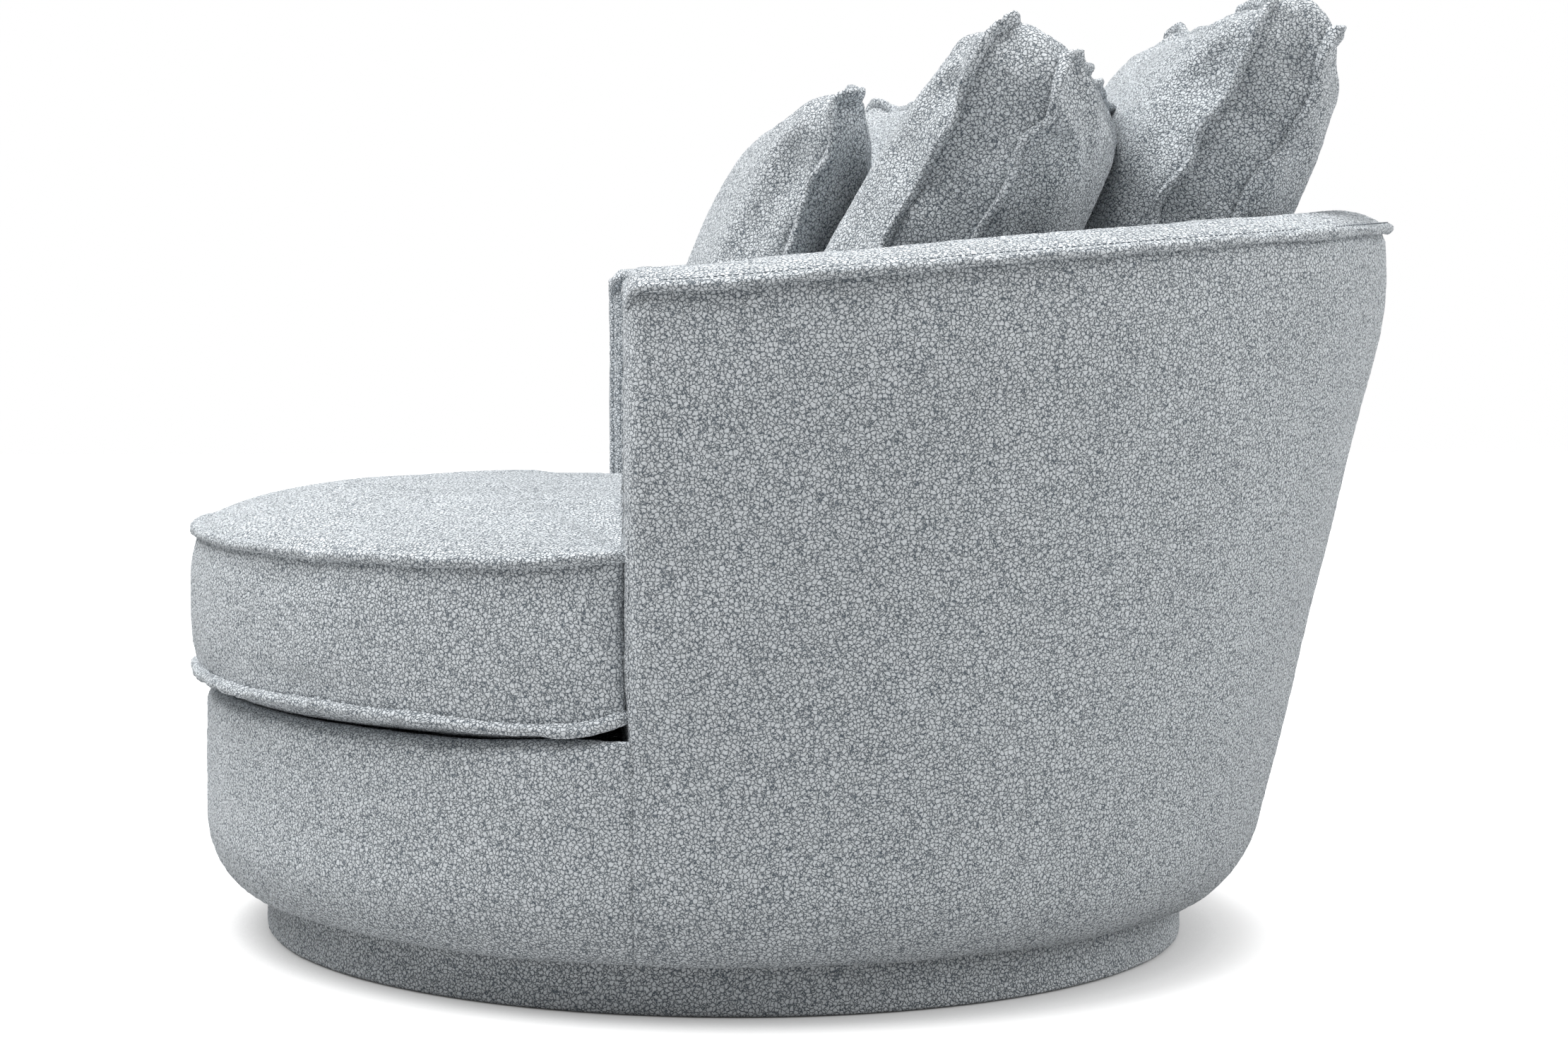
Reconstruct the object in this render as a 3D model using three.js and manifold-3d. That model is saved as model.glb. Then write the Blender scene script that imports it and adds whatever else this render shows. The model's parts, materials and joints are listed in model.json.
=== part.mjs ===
// Cuddle chair: a round upholstered tub that swivels on a recessed plinth, with five loose cushions.
// Millimetres, +Z up. The origin is on the floor at the swivel axis, and the chair faces -Y.
// Left and right are the sitter's, so left is +X.
import * as THREE from "three";
import { mergeVertices } from "three/addons/utils/BufferGeometryUtils.js";
import Module from "manifold-3d";

const wasm = await Module();
wasm.setup();

// Clearances
const seatGap = 0.3;
const slipGap = 5;
const overrun = 6;
const weldDistance = 0.001;

// Covers and boards
const skin = 4;
const tightSkin = 3;
const ply = 12;
const steelPlate = 3.5;

// Plinth
const drumRadius = 556;
const plinthRecess = 63;
const plinthWall = 16;
const plinthInnerHeight = 38;
const plinthCoverRise = 60;
const plinthHem = 24;
const glideHeight = 4;
const glideRadius = 22;
const glideInset = 45;
const plinthRailThickness = 18;

// Swivel
const swivelPlateSide = 260;
const ballCageRadius = 104;
const ballCageWidth = 22;
const ballCageHeight = 9;
const boltRadius = 8;
const boltHeadRadius = 16;
const boltHeadHeight = 8;
const nutRadius = 14;
const nutHeight = 9;
const nutHoleRadius = 26;
const nutSides = 6;

// Drum
const hemHeight = 52;
const hemGap = 12;
const drumEdgeRadius = 49;
const drumTopRadius = 14;
const hoopThickness = 15;
const drumFoam = 21;
const hoopRise = 20;
const baseBoardThickness = 18;
const railThickness = 25;
const railCornerGap = 63;
const deckHeight = 256;
const deckPadThickness = 12;
const strapWidth = 50;
const strapThickness = 1.6;
const strapsFrontToBack = 3;
const strapsAcross = 2;

// Tub: outer and inner walls lean outwards, and the arms stop at a flat front
const armEnd = 92;
const topHeight = 700;
const armFlare = 50;
const backRake = 156;
const armThickness = 120;
const armThicknessAtDeck = 138;
const backThickness = 115;
const backThicknessAtDeck = 156;
const rimFrontHeight = 688;
const rimRise = 59;
const rimStraightness = 0.6;
const rimTilt = 25;
const rimCrown = 14;
const flangeWidth = 6;
const flangeThickness = 5;
const rimRailDrop = 26;
const rimRailDepth = 30;
const rimRailWidthShare = 0.4;
const plateInset = 12;
const postWidth = 46;
const postInset = 16;
const postThicknessShare = 0.26;
const backPostTurn = 0.42;
const wallMiddle = 0.5;
const armPanelThickness = 22;
const armPanelRound = 20;

// Seat cushion
const seatOverhang = 20;
const seatSideGap = 7;
const seatEdgeHeight = 166;
const seatCrown = 54;
const seatPitch = 8;
const seatFrontLift = 6;
const seatBulge = 8;
const seatCornerStart = 50;
const seatCornerEnd = 75;

// Loose cushions
const coverWall = 10;
const cushionCorner = 42;
const cushionDrawIn = 14;
const cushionFlange = 11;
const cushionFlangeThickness = 5;
const gussetPull = 3;
const zipLength = 300;
const zipWidth = 8;
const zipRun = 14;

const backCushion = { width: 590, height: 578, gusset: 70, frontCrown: 58, backCrown: 82 };
const leftCushion = { width: 440, height: 490, gusset: 72, frontCrown: 52, backCrown: 62 };
const rightCushion = { width: 440, height: 452, gusset: 72, frontCrown: 27, backCrown: 62 };
const scatterCushion = { width: 530, height: 452, gusset: 0, frontCrown: 72, backCrown: 54 };
const backLean = 28.5;
const scatterLean = 22;
const leftPlace = { lean: 30, turn: -16, across: 212, ahead: 216.5 };
const rightPlace = { lean: 33, turn: 12, across: -208, ahead: 272.5 };

// Facets
const turnFacets = 48;
const smallFacets = 20;
const planFacets = 20;
const wallFacets = 24;
const arcFacets = 4;
const sideFacets = 4;
const padFacets = 2;
const panelFacets = 3;
const seatFacets = 40;
const cornerFacets = 3;

// Heights that stack up from the floor
const plinthRadius = drumRadius - plinthRecess;
const bottomBoardTop = glideHeight + ply;
const plinthRingTop = bottomBoardTop + seatGap + plinthInnerHeight;
const topBoardTop = plinthRingTop + seatGap + ply;
const lowerPlateTop = topBoardTop + seatGap + steelPlate;
const ballCageTop = lowerPlateTop + seatGap + ballCageHeight;
const upperPlateTop = ballCageTop + seatGap + steelPlate;
const baseBoardBottom = upperPlateTop + seatGap;
const baseBoardTop = baseBoardBottom + baseBoardThickness;
const deckCoverBottom = deckHeight - tightSkin;
const deckPadBottom = deckCoverBottom - seatGap - deckPadThickness;
const upperStrapBottom = deckPadBottom - seatGap - strapThickness;
const lowerStrapBottom = upperStrapBottom - seatGap - strapThickness;
const frameTop = lowerStrapBottom - seatGap;
const tubPlateTop = frameTop + seatGap + ply;
const padFoot = tubPlateTop + seatGap;
const tubMiddle = (deckHeight + rimFrontHeight) / 2;

// Radii that nest inside the drum
const drumSkinInside = drumRadius - skin - seatGap;
const hoopOuter = drumSkinInside - drumFoam;
const hoopInner = hoopOuter - hoopThickness;
const railSpread = (hoopInner - railCornerGap) * Math.SQRT2;
const hemDepth = plinthRecess - hemGap;
const edgeRadius = Math.min(drumEdgeRadius, hemDepth - skin / 2);
const drumLip = drumTopRadius * 2;

// How far in from the corner a quarter circle's middle passes, as a share of its radius
const arcDip = 1 - Math.SQRT1_2;

const fabric = new THREE.MeshStandardMaterial({ color: "#b3bac0", roughness: 0.95, metalness: 0 });
const foam = new THREE.MeshStandardMaterial({ color: "#e6dfc8", roughness: 0.95, metalness: 0 });
const timber = new THREE.MeshStandardMaterial({ color: "#c9a878", roughness: 0.7, metalness: 0 });
const steel = new THREE.MeshStandardMaterial({ color: "#8f9498", roughness: 0.4, metalness: 1 });
const webbing = new THREE.MeshStandardMaterial({ color: "#3c3f42", roughness: 0.9, metalness: 0 });
const plastic = new THREE.MeshStandardMaterial({ color: "#2b2d2f", roughness: 0.6, metalness: 0 });

const plinthGroup = new THREE.Group();
const chairGroup = new THREE.Group();
const seatGroup = new THREE.Group();
plinthGroup.add(chairGroup);
chairGroup.add(seatGroup);

const mix = (from, to, share) => from + (to - from) * share;
const clamp01 = (value) => Math.min(1, Math.max(0, value));
const smooth = (value) => clamp01(value) ** 2 * (3 - 2 * clamp01(value));

// Solids and meshes

// Faces point out where the signed volume is positive
function faceOutwards(points, faces) {
  let volume = 0;
  for (const [a, b, c] of faces) {
    const crossed = new THREE.Vector3().crossVectors(points[b], points[c]);
    volume += points[a].dot(crossed);
  }
  return volume > 0 ? faces : faces.map(([a, b, c]) => [a, c, b]);
}

function solidFromFaces(points, faces) {
  const vertProperties = new Float32Array(points.flatMap((point) => point.toArray()));
  const triVerts = new Uint32Array(faceOutwards(points, faces).flat());
  return new wasm.Manifold(new wasm.Mesh({ numProp: 3, vertProperties, triVerts }));
}

function solidFromGeometry(geometry) {
  const bare = geometry.clone();
  bare.deleteAttribute("normal");
  bare.deleteAttribute("uv");
  const merged = mergeVertices(bare, weldDistance);
  const place = merged.getAttribute("position");
  const points = Array.from({ length: place.count }, (_, i) => {
    return new THREE.Vector3().fromBufferAttribute(place, i);
  });
  const corners = Array.from(merged.getIndex().array);
  const faces = [];
  while (corners.length) {
    const [a, b, c] = corners.splice(-3);
    if (a !== b && b !== c && c !== a) faces.push([a, b, c]);
  }
  return solidFromFaces(points, faces);
}

function geometryFromSolid(solid) {
  const mesh = solid.getMesh();
  const geometry = new THREE.BufferGeometry();
  const stride = mesh.numProp;
  const places = [];
  for (let i = 0; i < mesh.vertProperties.length; i += stride) {
    places.push(...mesh.vertProperties.slice(i, i + 3));
  }
  geometry.setAttribute("position", new THREE.Float32BufferAttribute(places, 3));
  geometry.setIndex(Array.from(mesh.triVerts));
  geometry.computeVertexNormals();
  return geometry;
}

function addPiece(group, name, solid, material) {
  const mesh = new THREE.Mesh(geometryFromSolid(solid), material);
  mesh.name = name;
  group.add(mesh);
  return mesh;
}

// Triangles of a flat outline, wound the same way as the outline itself
function capFaces(flat) {
  const turnOf = (points) => Math.sign(THREE.ShapeUtils.area(points));
  return THREE.ShapeUtils.triangulateShape(flat, []).map(([a, b, c]) => {
    return turnOf([flat[a], flat[b], flat[c]]) === turnOf(flat) ? [a, b, c] : [a, c, b];
  });
}

// Joins equal rings of points in order and caps both ends with the flat section's faces.
// Each four-cornered facet is split from its lower corner, so nested walls split alike and stay clear.
function loft(rings, flat) {
  const count = rings[0].length;
  const points = rings.flat();
  const faces = [];
  for (let ring = 0; ring < rings.length - 1; ring += 1) {
    for (let i = 0; i < count; i += 1) {
      const next = (i + 1) % count;
      const a = ring * count + i;
      const b = ring * count + next;
      if (points[a].z <= points[b].z) faces.push([a, b, b + count], [a, b + count, a + count]);
      else faces.push([a, b, a + count], [b, b + count, a + count]);
    }
  }
  const last = (rings.length - 1) * count;
  for (const [a, b, c] of capFaces(flat)) {
    faces.push([a, c, b], [last + a, last + b, last + c]);
  }
  return solidFromFaces(points, faces);
}

function discSolid(radius, bottom, top) {
  const facets = radius < swivelPlateSide / 2 ? smallFacets : turnFacets;
  const disc = new THREE.CylinderGeometry(radius, radius, top - bottom, facets);
  disc.rotateX(Math.PI / 2);
  disc.translate(0, 0, (top + bottom) / 2);
  return solidFromGeometry(disc);
}

function boxSolid(x0, x1, y0, y1, z0, z1) {
  const box = new THREE.BoxGeometry(x1 - x0, y1 - y0, z1 - z0);
  box.translate((x0 + x1) / 2, (y0 + y1) / 2, (z0 + z1) / 2);
  return solidFromGeometry(box);
}

// A closed profile of radius and height pairs, turned about the swivel axis
function turnedSolid(profile) {
  const outline = [...profile, profile[0]].map(([radius, height]) => new THREE.Vector2(radius, height));
  const turned = new THREE.LatheGeometry(outline, turnFacets);
  turned.rotateX(Math.PI / 2);
  return solidFromGeometry(turned);
}

function ringSolid(inner, outer, bottom, top) {
  return turnedSolid([[inner, bottom], [outer, bottom], [outer, top], [inner, top]]);
}

function extrudedSolid(shape, bottom, top) {
  const slab = new THREE.ExtrudeGeometry(shape, {
    depth: top - bottom,
    bevelEnabled: false,
    curveSegments: planFacets,
  });
  slab.translate(0, 0, bottom);
  return solidFromGeometry(slab);
}

// Plinth and swivel

function addPlinth() {
  const ringOuter = plinthRadius - skin - seatGap;
  const ringInner = ringOuter - plinthWall;
  addPiece(plinthGroup, "floor_glide_centre", discSolid(glideRadius, 0, glideHeight - seatGap), plastic);
  const glideReach = (ringOuter - glideInset) * Math.SQRT1_2;
  for (const [end, ySign] of [["front", -1], ["rear", 1]]) {
    for (const [side, xSign] of [["left", 1], ["right", -1]]) {
      const glide = discSolid(glideRadius, 0, glideHeight - seatGap);
      const placed = glide.translate([xSign * glideReach, ySign * glideReach, 0]);
      addPiece(plinthGroup, `floor_glide_${end}_${side}`, placed, plastic);
    }
  }
  addPiece(plinthGroup, "plinth_bottom_board", discSolid(ringOuter, glideHeight, bottomBoardTop), timber);
  const ring = ringSolid(ringInner, ringOuter, bottomBoardTop + seatGap, plinthRingTop);
  addPiece(plinthGroup, "plinth_ring", ring, timber);
  addPlinthRails(ringInner - seatGap);
  const boltHole = discSolid(boltHeadRadius + slipGap, plinthRingTop, topBoardTop + overrun);
  const topBoard = discSolid(ringOuter, plinthRingTop + seatGap, topBoardTop).subtract(boltHole);
  addPiece(plinthGroup, "plinth_top_board", topBoard, timber);
  const coverBottom = glideHeight - tightSkin;
  const cover = turnedSolid([
    [plinthRadius - plinthHem, coverBottom],
    [plinthRadius - skin / 2, coverBottom],
    [plinthRadius, coverBottom + skin / 2],
    [plinthRadius, plinthCoverRise],
    [plinthRadius - skin, plinthCoverRise],
    [plinthRadius - skin, glideHeight - seatGap],
    [plinthRadius - plinthHem, glideHeight - seatGap],
  ]);
  addPiece(plinthGroup, "plinth_cover", cover, fabric);
}

// Two rails on edge, halved where they cross
function addPlinthRails(reach) {
  const half = plinthRailThickness / 2;
  const bottom = bottomBoardTop + seatGap;
  const top = plinthRingTop;
  const middle = (bottom + top) / 2;
  const length = Math.sqrt(reach ** 2 - half ** 2) - slipGap;
  const notch = half + seatGap;
  const across = boxSolid(-length, length, -half, half, bottom, top);
  const acrossNotch = boxSolid(-notch, notch, -notch, notch, middle, top + overrun);
  addPiece(plinthGroup, "plinth_rail_across", across.subtract(acrossNotch), timber);
  const along = boxSolid(-half, half, -length, length, bottom, top);
  const alongNotch = boxSolid(-notch, notch, -notch, notch, bottom - overrun, middle + seatGap);
  addPiece(plinthGroup, "plinth_rail_along", along.subtract(alongNotch), timber);
}

function platePlan() {
  const half = swivelPlateSide / 2;
  const plan = new THREE.Shape();
  plan.moveTo(-half, -half);
  plan.lineTo(half, -half);
  plan.lineTo(half, half);
  plan.lineTo(-half, half);
  plan.closePath();
  return plan;
}

function addSwivel() {
  const boltHole = discSolid(boltRadius + seatGap, plinthRingTop, upperPlateTop + overrun);
  const lower = extrudedSolid(platePlan(), topBoardTop + seatGap, lowerPlateTop).subtract(boltHole);
  addPiece(plinthGroup, "swivel_lower_plate", lower, steel);
  const cageInner = ballCageRadius - ballCageWidth / 2;
  const cageOuter = ballCageRadius + ballCageWidth / 2;
  const cage = ringSolid(cageInner, cageOuter, lowerPlateTop + seatGap, ballCageTop);
  addPiece(plinthGroup, "swivel_ball_cage", cage, steel);
  const upper = extrudedSolid(platePlan(), ballCageTop + seatGap, upperPlateTop).subtract(boltHole);
  addPiece(chairGroup, "swivel_upper_plate", upper, steel);
  const nutBottom = upperPlateTop + seatGap;
  const boltTop = nutBottom + nutHeight + slipGap;
  const head = discSolid(boltHeadRadius, topBoardTop - boltHeadHeight, topBoardTop);
  const bolt = head.add(discSolid(boltRadius, topBoardTop - boltHeadHeight, boltTop));
  addPiece(plinthGroup, "swivel_pivot_bolt", bolt, steel);
  const hexagon = new THREE.CylinderGeometry(nutRadius, nutRadius, nutHeight, nutSides);
  hexagon.rotateX(Math.PI / 2);
  hexagon.translate(0, 0, nutBottom + nutHeight / 2);
  const nutBore = discSolid(boltRadius + seatGap, nutBottom - overrun, boltTop);
  addPiece(plinthGroup, "swivel_pivot_nut", solidFromGeometry(hexagon).subtract(nutBore), steel);
}

// Tub walls: the outer and the inner wall each run straight from a lower circle to an upper one.
// Every circle ends on the plane of the arm fronts.
// turn runs from -1 at the right arm through 0 at the back to 1 at the left arm.

// The circle through the end of one arm's wall, the middle of the back and the other arm's wall
function wallCircle(half, back) {
  const centre = (back ** 2 - armEnd ** 2 - half ** 2) / (2 * (back + armEnd));
  const radius = back - centre;
  return { centre, radius, sweep: Math.atan2(half, -armEnd - centre) };
}

const halfFoot = Math.sqrt(drumRadius ** 2 - armEnd ** 2);
const risen = (z) => (z - hemHeight) / (topHeight - hemHeight);
const fromDeck = (z) => (z - deckHeight) / (topHeight - deckHeight);
const deckHalf = halfFoot + armFlare * risen(deckHeight) - armThicknessAtDeck;
const deckBack = drumRadius + backRake * risen(deckHeight) - backThicknessAtDeck;
const outerFoot = wallCircle(halfFoot, drumRadius);
const outerTop = wallCircle(halfFoot + armFlare, drumRadius + backRake);
const innerDeck = wallCircle(deckHalf, deckBack);
const innerTop = wallCircle(halfFoot + armFlare - armThickness, drumRadius + backRake - backThickness);

function pointOnWall(lower, upper, turn, share, z) {
  const onCircle = ({ centre, radius, sweep }) => {
    return new THREE.Vector3(radius * Math.sin(turn * sweep), centre + radius * Math.cos(turn * sweep), z);
  };
  return onCircle(lower).lerp(onCircle(upper), share);
}

// share runs from 0 on the outer wall to 1 on the inner wall, and depth adds millimetres inwards
function wallPoint(turn, [share, depth, z]) {
  const outer = pointOnWall(outerFoot, outerTop, turn, risen(z), z);
  const inner = pointOnWall(innerDeck, innerTop, turn, fromDeck(z), z);
  const across = inner.sub(outer);
  return outer.addScaledVector(across, share + depth / across.length());
}

// Height of the outer rim seam, which climbs from the arm fronts to the back
function rimHeight(turn) {
  const along = (wallPoint(turn, [0, 0, topHeight]).y + armEnd) / (drumRadius + backRake + armEnd);
  return rimFrontHeight + rimRise * mix(along ** 2, along, rimStraightness);
}

// A section of wall points swept round the tub
function wallSolid(sectionAt) {
  const rings = [];
  for (let i = 0; i <= wallFacets; i += 1) {
    const turn = mix(-1, 1, i / wallFacets);
    rings.push(sectionAt(turn).map((place) => wallPoint(turn, place)));
  }
  const flat = sectionAt(-1).map(([share, depth, z]) => new THREE.Vector2(share * armThickness + depth, z));
  return loft(rings, flat);
}

// The rounded lower edge of drum and tub, from the hem outwards and up, as depth and height pairs
function lowerEdge(offset) {
  const radius = edgeRadius - offset;
  const edge = [[hemDepth, hemHeight + offset]];
  for (let i = 0; i <= arcFacets; i += 1) {
    const angle = (i / arcFacets) * (Math.PI / 2);
    const depth = edgeRadius - radius * Math.sin(angle);
    edge.push([depth, hemHeight + edgeRadius - radius * Math.cos(angle)]);
  }
  return edge;
}

function addOutsideCover() {
  const section = (turn) => {
    const top = rimHeight(turn) - flangeThickness / 2 - seatGap;
    const levels = [frameTop, padFoot, tubMiddle, top];
    const outside = [...lowerEdge(0), ...levels.map((z) => [0, z])];
    const inside = [...lowerEdge(skin), ...levels.map((z) => [skin, z])];
    return [...outside, ...inside.reverse()].map(([depth, z]) => [0, depth, z]);
  };
  addPiece(chairGroup, "outside_cover", wallSolid(section), fabric);
}

function insideCover() {
  const foot = deckHeight + seatGap;
  const section = (turn) => {
    const top = rimHeight(turn) + rimTilt - flangeThickness / 2 - seatGap;
    const levels = [foot, tubMiddle, top];
    return [...levels.map((z) => [1, 0, z]), ...levels.map((z) => [1, -skin, z]).reverse()];
  };
  return wallSolid(section);
}

// Across the rim: share of the way to the inner wall, and height above the straight line between the seams
const rimCrownShares = [[0.2, 0.62], [0.5, 1], [0.8, 0.66]];

function rimCover() {
  const half = flangeThickness / 2;
  const section = (turn) => {
    const outer = rimHeight(turn);
    const inner = outer + rimTilt;
    const top = rimCrownShares.map(([share, rise]) => {
      return [share, 0, mix(outer, inner, share) + half + rimCrown * rise];
    });
    const under = top.map(([share, depth, z]) => [share, depth, z - skin]).reverse();
    return [
      [0, 0, outer - half],
      [0, -flangeWidth, outer - half],
      [0, -flangeWidth, outer + half],
      [0, 0, outer + half],
      ...top,
      [1, 0, inner + half],
      [1, flangeWidth, inner + half],
      [1, flangeWidth, inner - half],
      [1, 0, inner - half],
      [1, -skin, inner - half],
      ...under,
      [0, skin, outer - half],
    ];
  };
  return wallSolid(section);
}

function addTubFrame() {
  const plate = (z) => [[0, plateInset, z], [1, -plateInset, z]];
  const plateSection = [...plate(frameTop + seatGap), ...plate(tubPlateTop).reverse()];
  addPiece(chairGroup, "tub_base_plate", wallSolid(() => plateSection), timber);
  const rail = (turn) => railSection(turn, 0);
  addPiece(chairGroup, "rim_rail", wallSolid(rail), timber);
  const railSpace = wallSolid((turn) => railSection(turn, seatGap));
  for (const [name, turn] of postTurns()) {
    addPiece(chairGroup, name, postSolid(turn, 0).subtract(railSpace), timber);
  }
}

function railSection(turn, grow) {
  const top = rimHeight(turn) - rimRailDrop + grow;
  const bottom = top - rimRailDepth - 2 * grow;
  const near = mix(wallMiddle, 0, rimRailWidthShare);
  const far = mix(wallMiddle, 1, rimRailWidthShare);
  return [[near, -grow, bottom], [far, grow, bottom], [far, grow, top], [near, -grow, top]];
}

function postTurns() {
  const armTurn = 1 - (postWidth / 2 + postInset) / (innerDeck.radius * innerDeck.sweep);
  return [
    ["arm_post_left", armTurn],
    ["arm_post_right", -armTurn],
    ["back_post_left", backPostTurn],
    ["back_post_centre", 0],
    ["back_post_right", -backPostTurn],
  ];
}

// A straight timber from the base plate up to the rim rail, following the middle of the wall
function postSolid(turn, grow) {
  const bottom = padFoot;
  const top = rimHeight(turn) - rimRailDrop - rimRailDepth / 2;
  const foot = wallPoint(turn, [wallMiddle, 0, bottom]);
  const head = wallPoint(turn, [wallMiddle, 0, top]);
  const across = wallPoint(turn, [1, 0, top]).sub(wallPoint(turn, [0, 0, top])).normalize();
  const along = new THREE.Vector3(-across.y, across.x, 0);
  const halfDepth = (backThickness * postThicknessShare) / 2 + grow;
  const halfWidth = postWidth / 2 + grow;
  const corner = (end, u, v) => {
    return end.clone().addScaledVector(across, u * halfDepth).addScaledVector(along, v * halfWidth);
  };
  const ring = (end) => [corner(end, -1, -1), corner(end, 1, -1), corner(end, 1, 1), corner(end, -1, 1)];
  const flat = [[-1, -1], [1, -1], [1, 1], [-1, 1]].map(([u, v]) => new THREE.Vector2(u, v));
  return loft([ring(foot), ring(head)], flat);
}

// Foam between the covers, from the hoop's top to under the rim, hollowed for the frame
function addTubPadding() {
  const inset = skin + seatGap;
  const section = (turn) => {
    const outer = rimHeight(turn) - flangeThickness / 2;
    const inner = outer + rimTilt;
    const top = rimCrownShares.map(([share, rise]) => {
      return [share, 0, mix(outer, inner, share) + flangeThickness + rimCrown * rise - inset];
    });
    return [
      [0, inset, padFoot],
      [0, inset, tubMiddle],
      [0, inset, outer - seatGap],
      ...top,
      [1, -inset, inner - seatGap],
      [1, -inset, tubMiddle],
      [1, -inset, padFoot],
    ];
  };
  let padding = wallSolid(section);
  padding = padding.subtract(wallSolid((turn) => railSection(turn, seatGap)));
  for (const [, turn] of postTurns()) {
    padding = padding.subtract(postSolid(turn, 2 * seatGap));
  }
  addPiece(chairGroup, "tub_padding", padding, foam);
}

// A padded panel closes each arm's front, with its seam standing out along the outer edge and the top
function addArmPanels() {
  for (const [side, turn] of [["left", 1], ["right", -1]]) {
    const foot = deckHeight + seatGap;
    const outer = rimHeight(turn);
    const inner = outer + rimTilt;
    const sideShares = Array.from({ length: panelFacets }, (_, i) => i / panelFacets);
    const outline = [
      ...sideShares.map((share) => [0, 0, mix(foot, outer, share)]),
      [0, 0, outer],
      ...rimCrownShares.map(([share, rise]) => [share, 0, mix(outer, inner, share) + rimCrown * rise]),
      [1, 0, inner],
      ...sideShares.map((share) => [1, 0, mix(foot, inner, share)]).reverse(),
    ];
    const flat = outline.map((place) => wallPoint(turn, place));
    addPiece(chairGroup, `arm_front_panel_${side}`, panelSolid(flat), fabric);
  }
}

function panelSolid(outline) {
  const centre = new THREE.Vector3();
  for (const point of outline) centre.addScaledVector(point, 1 / outline.length);
  const lowest = Math.min(...outline.map((point) => point.z));
  const ring = (inset, forward) => outline.map((point) => {
    const inward = new THREE.Vector3(centre.x - point.x, 0, centre.z - point.z);
    const reach = new THREE.Vector3(Math.sign(inward.x) * inset, 0, Math.sign(inward.z) * inset);
    const moved = point.clone().add(reach);
    moved.z = Math.max(moved.z, lowest + Math.max(inset, 0));
    moved.y = -armEnd - seatGap - forward;
    return moved;
  });
  const rings = [
    ring(0, 0),
    ring(-flangeWidth / 2, 0),
    ring(-flangeWidth / 2, flangeThickness),
    ring(0, flangeThickness),
    ring(armPanelRound * arcDip, armPanelThickness * Math.SQRT1_2),
    ring(armPanelRound, armPanelThickness),
  ];
  const back = new THREE.Vector3(centre.x, -armEnd - seatGap, centre.z);
  const front = new THREE.Vector3(centre.x, -armEnd - seatGap - armPanelThickness, centre.z);
  return cushionSolid(rings.reverse(), front, back);
}

// Drum

// The front of the drum is a sector of its own circle, between the two arm fronts
function drumSolid(section) {
  const sweep = Math.acos((armEnd + seatGap) / drumRadius);
  const rings = [];
  for (let i = 0; i <= wallFacets; i += 1) {
    const angle = mix(-sweep, sweep, i / wallFacets);
    rings.push(section.map(([depth, z]) => {
      const radius = drumRadius - depth;
      return new THREE.Vector3(radius * Math.sin(angle), -radius * Math.cos(angle), z);
    }));
  }
  const flat = section.map(([depth, z]) => new THREE.Vector2(depth, z));
  const solid = loft(rings, flat);
  const reach = drumRadius + overrun;
  return solid.intersect(boxSolid(-reach, reach, -reach, -armEnd - seatGap, 0, topHeight));
}

function addDrum() {
  const nutHole = discSolid(nutHoleRadius, baseBoardBottom - overrun, baseBoardTop + overrun);
  const boardRadius = hoopInner - seatGap;
  const board = discSolid(boardRadius, baseBoardBottom, baseBoardTop).subtract(nutHole);
  addPiece(chairGroup, "base_board", board, timber);
  const hoop = ringSolid(hoopInner, hoopOuter, hemHeight + hoopRise, frameTop);
  addPiece(chairGroup, "drum_hoop", hoop, timber);
  const crest = deckHeight;
  const rounded = (offset) => [
    [offset, crest - drumTopRadius],
    [offset + (drumTopRadius - offset) * arcDip, crest - offset - (drumTopRadius - offset) * arcDip],
    [drumTopRadius, crest - offset],
  ];
  const coverSection = [
    ...lowerEdge(0), ...rounded(0), [drumLip, crest],
    [drumLip, crest - skin], ...rounded(skin).reverse(), ...lowerEdge(skin).reverse(),
  ];
  addPiece(chairGroup, "drum_cover", drumSolid(coverSection), fabric);
  const inset = skin + seatGap;
  const foamLow = hemHeight + edgeRadius;
  const hoopDepth = drumRadius - hoopInner;
  const foamSection = [[inset, foamLow], [inset, frameTop], [hoopDepth, frameTop], [hoopDepth, foamLow]];
  const hoopSpace = discSolid(hoopOuter + seatGap, foamLow - overrun, frameTop + overrun);
  addPiece(chairGroup, "drum_padding_front", drumSolid(foamSection).subtract(hoopSpace), foam);
  addRearPadding(inset, foamLow, hoopSpace);
}

// Behind the arm fronts the wall leans away from the hoop, and foam fills the wedge between them
function addRearPadding(inset, foamLow, hoopSpace) {
  const depths = [inset, armThickness];
  const low = depths.map((depth) => [0, depth, foamLow]);
  const high = depths.map((depth) => [0, depth, frameTop]);
  const section = () => [low[0], ...high, low[1]];
  addPiece(chairGroup, "drum_padding_rear", wallSolid(section).subtract(hoopSpace), foam);
}

// The deck's plan: the drum's front, stepping in between the arms and round the well
function deckPlan(frontRadius, sideGap) {
  const well = { centre: innerDeck.centre, radius: innerDeck.radius - sideGap };
  const front = armEnd + armPanelThickness + slipGap;
  const frontAngle = Math.asin(front / frontRadius);
  const wellAngle = Math.asin((front + well.centre) / well.radius);
  const plan = new THREE.Shape();
  plan.absarc(0, 0, frontRadius, -Math.PI + frontAngle, -frontAngle, false);
  plan.absarc(0, well.centre, well.radius, -wellAngle, Math.PI + wellAngle, false);
  plan.closePath();
  return plan;
}

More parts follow.
